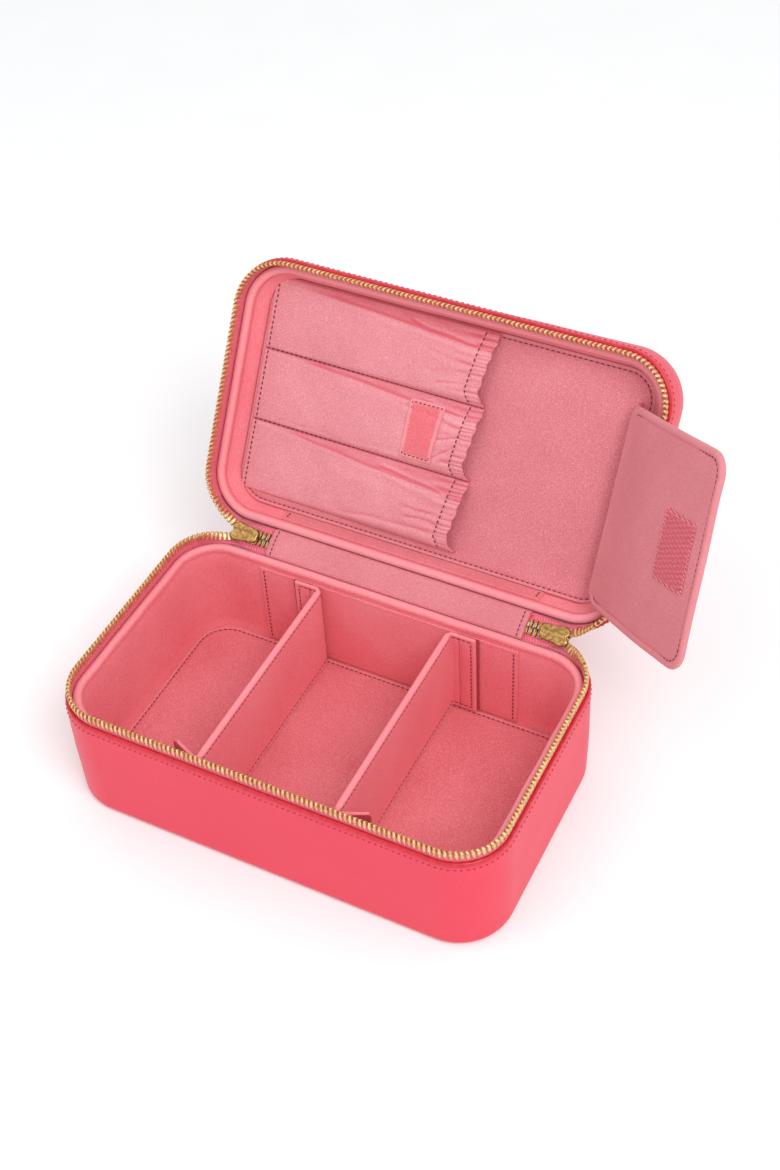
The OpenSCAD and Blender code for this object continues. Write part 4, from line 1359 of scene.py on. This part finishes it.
# Section of the eye that rolls round a bail, as (mm along its axis, radius).
EYE_ROWS = np.array([(-2, 0.8), (-1.75, 1.35), (1.75, 1.35), (2, 0.8), (2, 0.75), (1.9, 0.73), (-1.9, 0.73),
                     (-2, 0.75), (-2, 0.77), (-2, 0.79), (-2, 0.8)])


def pull(side, word):
    """Plain tapered tab with a slot, hanging from the bail by its eye."""
    centre = strip_point(PULL_X, PULL_Y, 0)[0]
    c, s = circle(48)

    def edge(grow):
        r = 2.3 + grow
        z = r * s + np.where(s >= 0, -0.35, -21.7)
        return columns(r * c * np.interp(z, [-24, -16, 1], [1, 1, 0.86]), z)

    def slot(grow):
        r = 0.95 + grow
        return columns(r * c, r * s + np.where(s >= 0, -18.5, -21.0))

    between = edge(-0.6) * 0.55 + slot(0.6) * 0.45
    rows = [(edge(0), 0.35), (edge(-0.25), 0.6), (between, 0.6), (slot(0.25), 0.6), (slot(0), 0.35),
            (slot(0), -0.35), (slot(0.25), -0.6), (between, -0.6), (edge(-0.25), -0.6), (edge(0), -0.35),
            (edge(0), 0.35)]
    lines, height = np.array([line for line, _ in rows]), np.array([h for _, h in rows])

    def lay(column, row):
        x, z = lines[row, column % 48].T
        return (centre + columns(x, height[row], z)) * [side, 1, 1]

    def roll_round(column, row):
        t = column % 24 * 2 * math.pi / 24
        x, r = EYE_ROWS[row].T
        return (centre + columns(x, r * np.cos(t), r * np.sin(t))) * [side, 1, 1]

    tab = close_up(sheet("pull_%s_tab" % word, 48, len(rows) - 1, lay, SLIDER_BRASS), 35)
    eye = close_up(sheet("pull_%s_eye" % word, 24, 10, roll_round, SLIDER_BRASS), 35)
    keep(joined("pull_%s_tab" % word, [tab, eye]), "pull_" + word, "brass", "slider_%s_pull" % word)


for side, word in SIDES:
    pull(side, word)


# ---- hinge strip ------------------------------------------------------------------

def hinge_half(half, node):
    """Padded leather over one fold: from the rim's lining to the middle of the strip."""
    turn = HALVES[half]
    middle, way, inward = STRIP_MIDDLE[1:], STRIP_WAY[1:], STRIP_IN[1:]
    seam, count = 2.9, 26
    inner = [(66.55, 58.4), (66.5, 60.2), (66.15, 61.6), (66.2, 62.35), (67.0, 63.25),
             middle + inward * 1.4 - way * 3.2, middle + inward * 1.55]
    outer = [middle - inward * 1.35, middle - inward * 1.3 - way * 3.4, (69.0, 61.95), (67.9, 60.9),
             (67.6, 59.6), (67.5, 58.4)]
    line = np.vstack([smoothed(walk(part, np.linspace(0, run_of(part)[-1], n)), 3)
                      for part, n in ((np.array(inner), count), (np.array(outer), 20))])
    from_end = np.array((0, 0.15, 0.45, 0.9, 1.6, 2.4, seam, 3.5, 4.4, 6))
    xs = np.concatenate((from_end - STRIP_W / 2, np.linspace(-64, 64, 60), STRIP_W / 2 - from_end[::-1]))

    def lay(column, row):
        x = xs[column]
        d = STRIP_W / 2 - np.abs(x)
        inside = row < count
        share = np.clip(row / (count - 1), 0, 1)
        end = 1 - np.sqrt(1 - (1 - np.clip(d / 0.9, 0, 1)) ** 2)
        wave = 0.16 * ripple(x * 1.5, share * 9, 4.0) * np.sin(np.pi * share)
        raised = (wave - 0.22 * groove(d, seam, 0.5)) * inside - end * 1.1
        return turn(columns(x, line[row] + np.where(inside, raised, -raised)[:, None] * inward))

    bends = across_fold(half, -8.6, -5.6)
    piece = sheet(half + "_hinge_pad", len(xs) - 1, len(line) - 1, lay, STRIP_LEATHER)
    keep(close_up(piece, 45), bends, "lining", node)
    sewn = line[9:count]
    rows = []
    for side, _ in SIDES:
        at = columns(np.full(len(sewn), side * (STRIP_W / 2 - seam)), sewn) - STRIP_IN * 0.15
        rows.append((turn(at), turn(at + STRIP_IN) - turn(at)))
    stitches(half + "_hinge_stitches", rows, bends, 2.6, 1.85)


hinge_half("base", "hinge_leather")
hinge_half("lid", "hinge_lining")


# ---- room ------------------------------------------------------------------

def soft_light(name, place, size, power):
    """A square lamp turned to the case."""
    bpy.ops.object.light_add(type="AREA", location=place)
    lamp = bpy.context.object
    lamp.name = name
    lamp.data.shape, lamp.data.size, lamp.data.energy = "SQUARE", size, power
    way = Vector((0, 0, 0.05)) - Vector(place)
    lamp.rotation_euler = way.to_track_quat("-Z", "Y").to_euler()


soft_light("key_light", (0.7, -0.45, 1.2), 0.6, 8.5)
soft_light("fill_light", (-0.6, -0.5, 1.3), 0.9, 2.0)


def add_floor():
    bpy.ops.object.select_all(action="DESELECT")
    bpy.ops.mesh.primitive_plane_add(size=6, location=(0, 0, 0))
    plane = bpy.context.object
    plane.name = "studio_floor"
    f = Finish("studio floor")
    shade = f.mix(f.noise(60), (246, 246, 246), (250, 250, 250))
    plane.data.materials.append(f.done(shade, 0.9, specular=0.1))


add_floor()


def add_world():
    """White where it is seen, a little cooler and dimmer as light."""
    world = bpy.data.worlds.new("studio")
    bpy.context.scene.world = world
    world.use_nodes = True
    g = Graph(world.node_tree)
    ray = g.raw("LightPath")
    camera, glossy, through = (Val(g, ray.outputs["Is %s Ray" % kind])
                               for kind in ("Camera", "Glossy", "Transmission"))
    lit = g.node("Background", {}, {"Color": (0.98, 0.99, 1.0, 1), "Strength": 0.88})
    seen = g.node("Background", {}, {"Color": (1, 1, 1, 1), "Strength": 1.0})
    share = camera.math("MAXIMUM", glossy).math("MAXIMUM", through)
    g.raw("OutputWorld", {}, {"Surface": g.node("MixShader", {}, {0: share, 1: lit, 2: seen})})


add_world()
bpy.context.scene.view_settings.view_transform = "Standard"

# ---- finish of the CAD nodes that still show ---------------------------------

SLOT_FINISH = {"leather": LEATHER, "lining": LINING, "flap_leather": FLAP_LEATHER, "binding": PAINT,
               "zip_tape": TAPE, "elastic": LINING, "hook_fabric": HOOK, "foam": BOARD,
               "board": BOARD, "brass": BRASS}
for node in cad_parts.values():
    for holder in node.material_slots:
        holder.material = SLOT_FINISH.get(holder.material.name.split(".")[0], LINING)

bpy.context.view_layer.update()
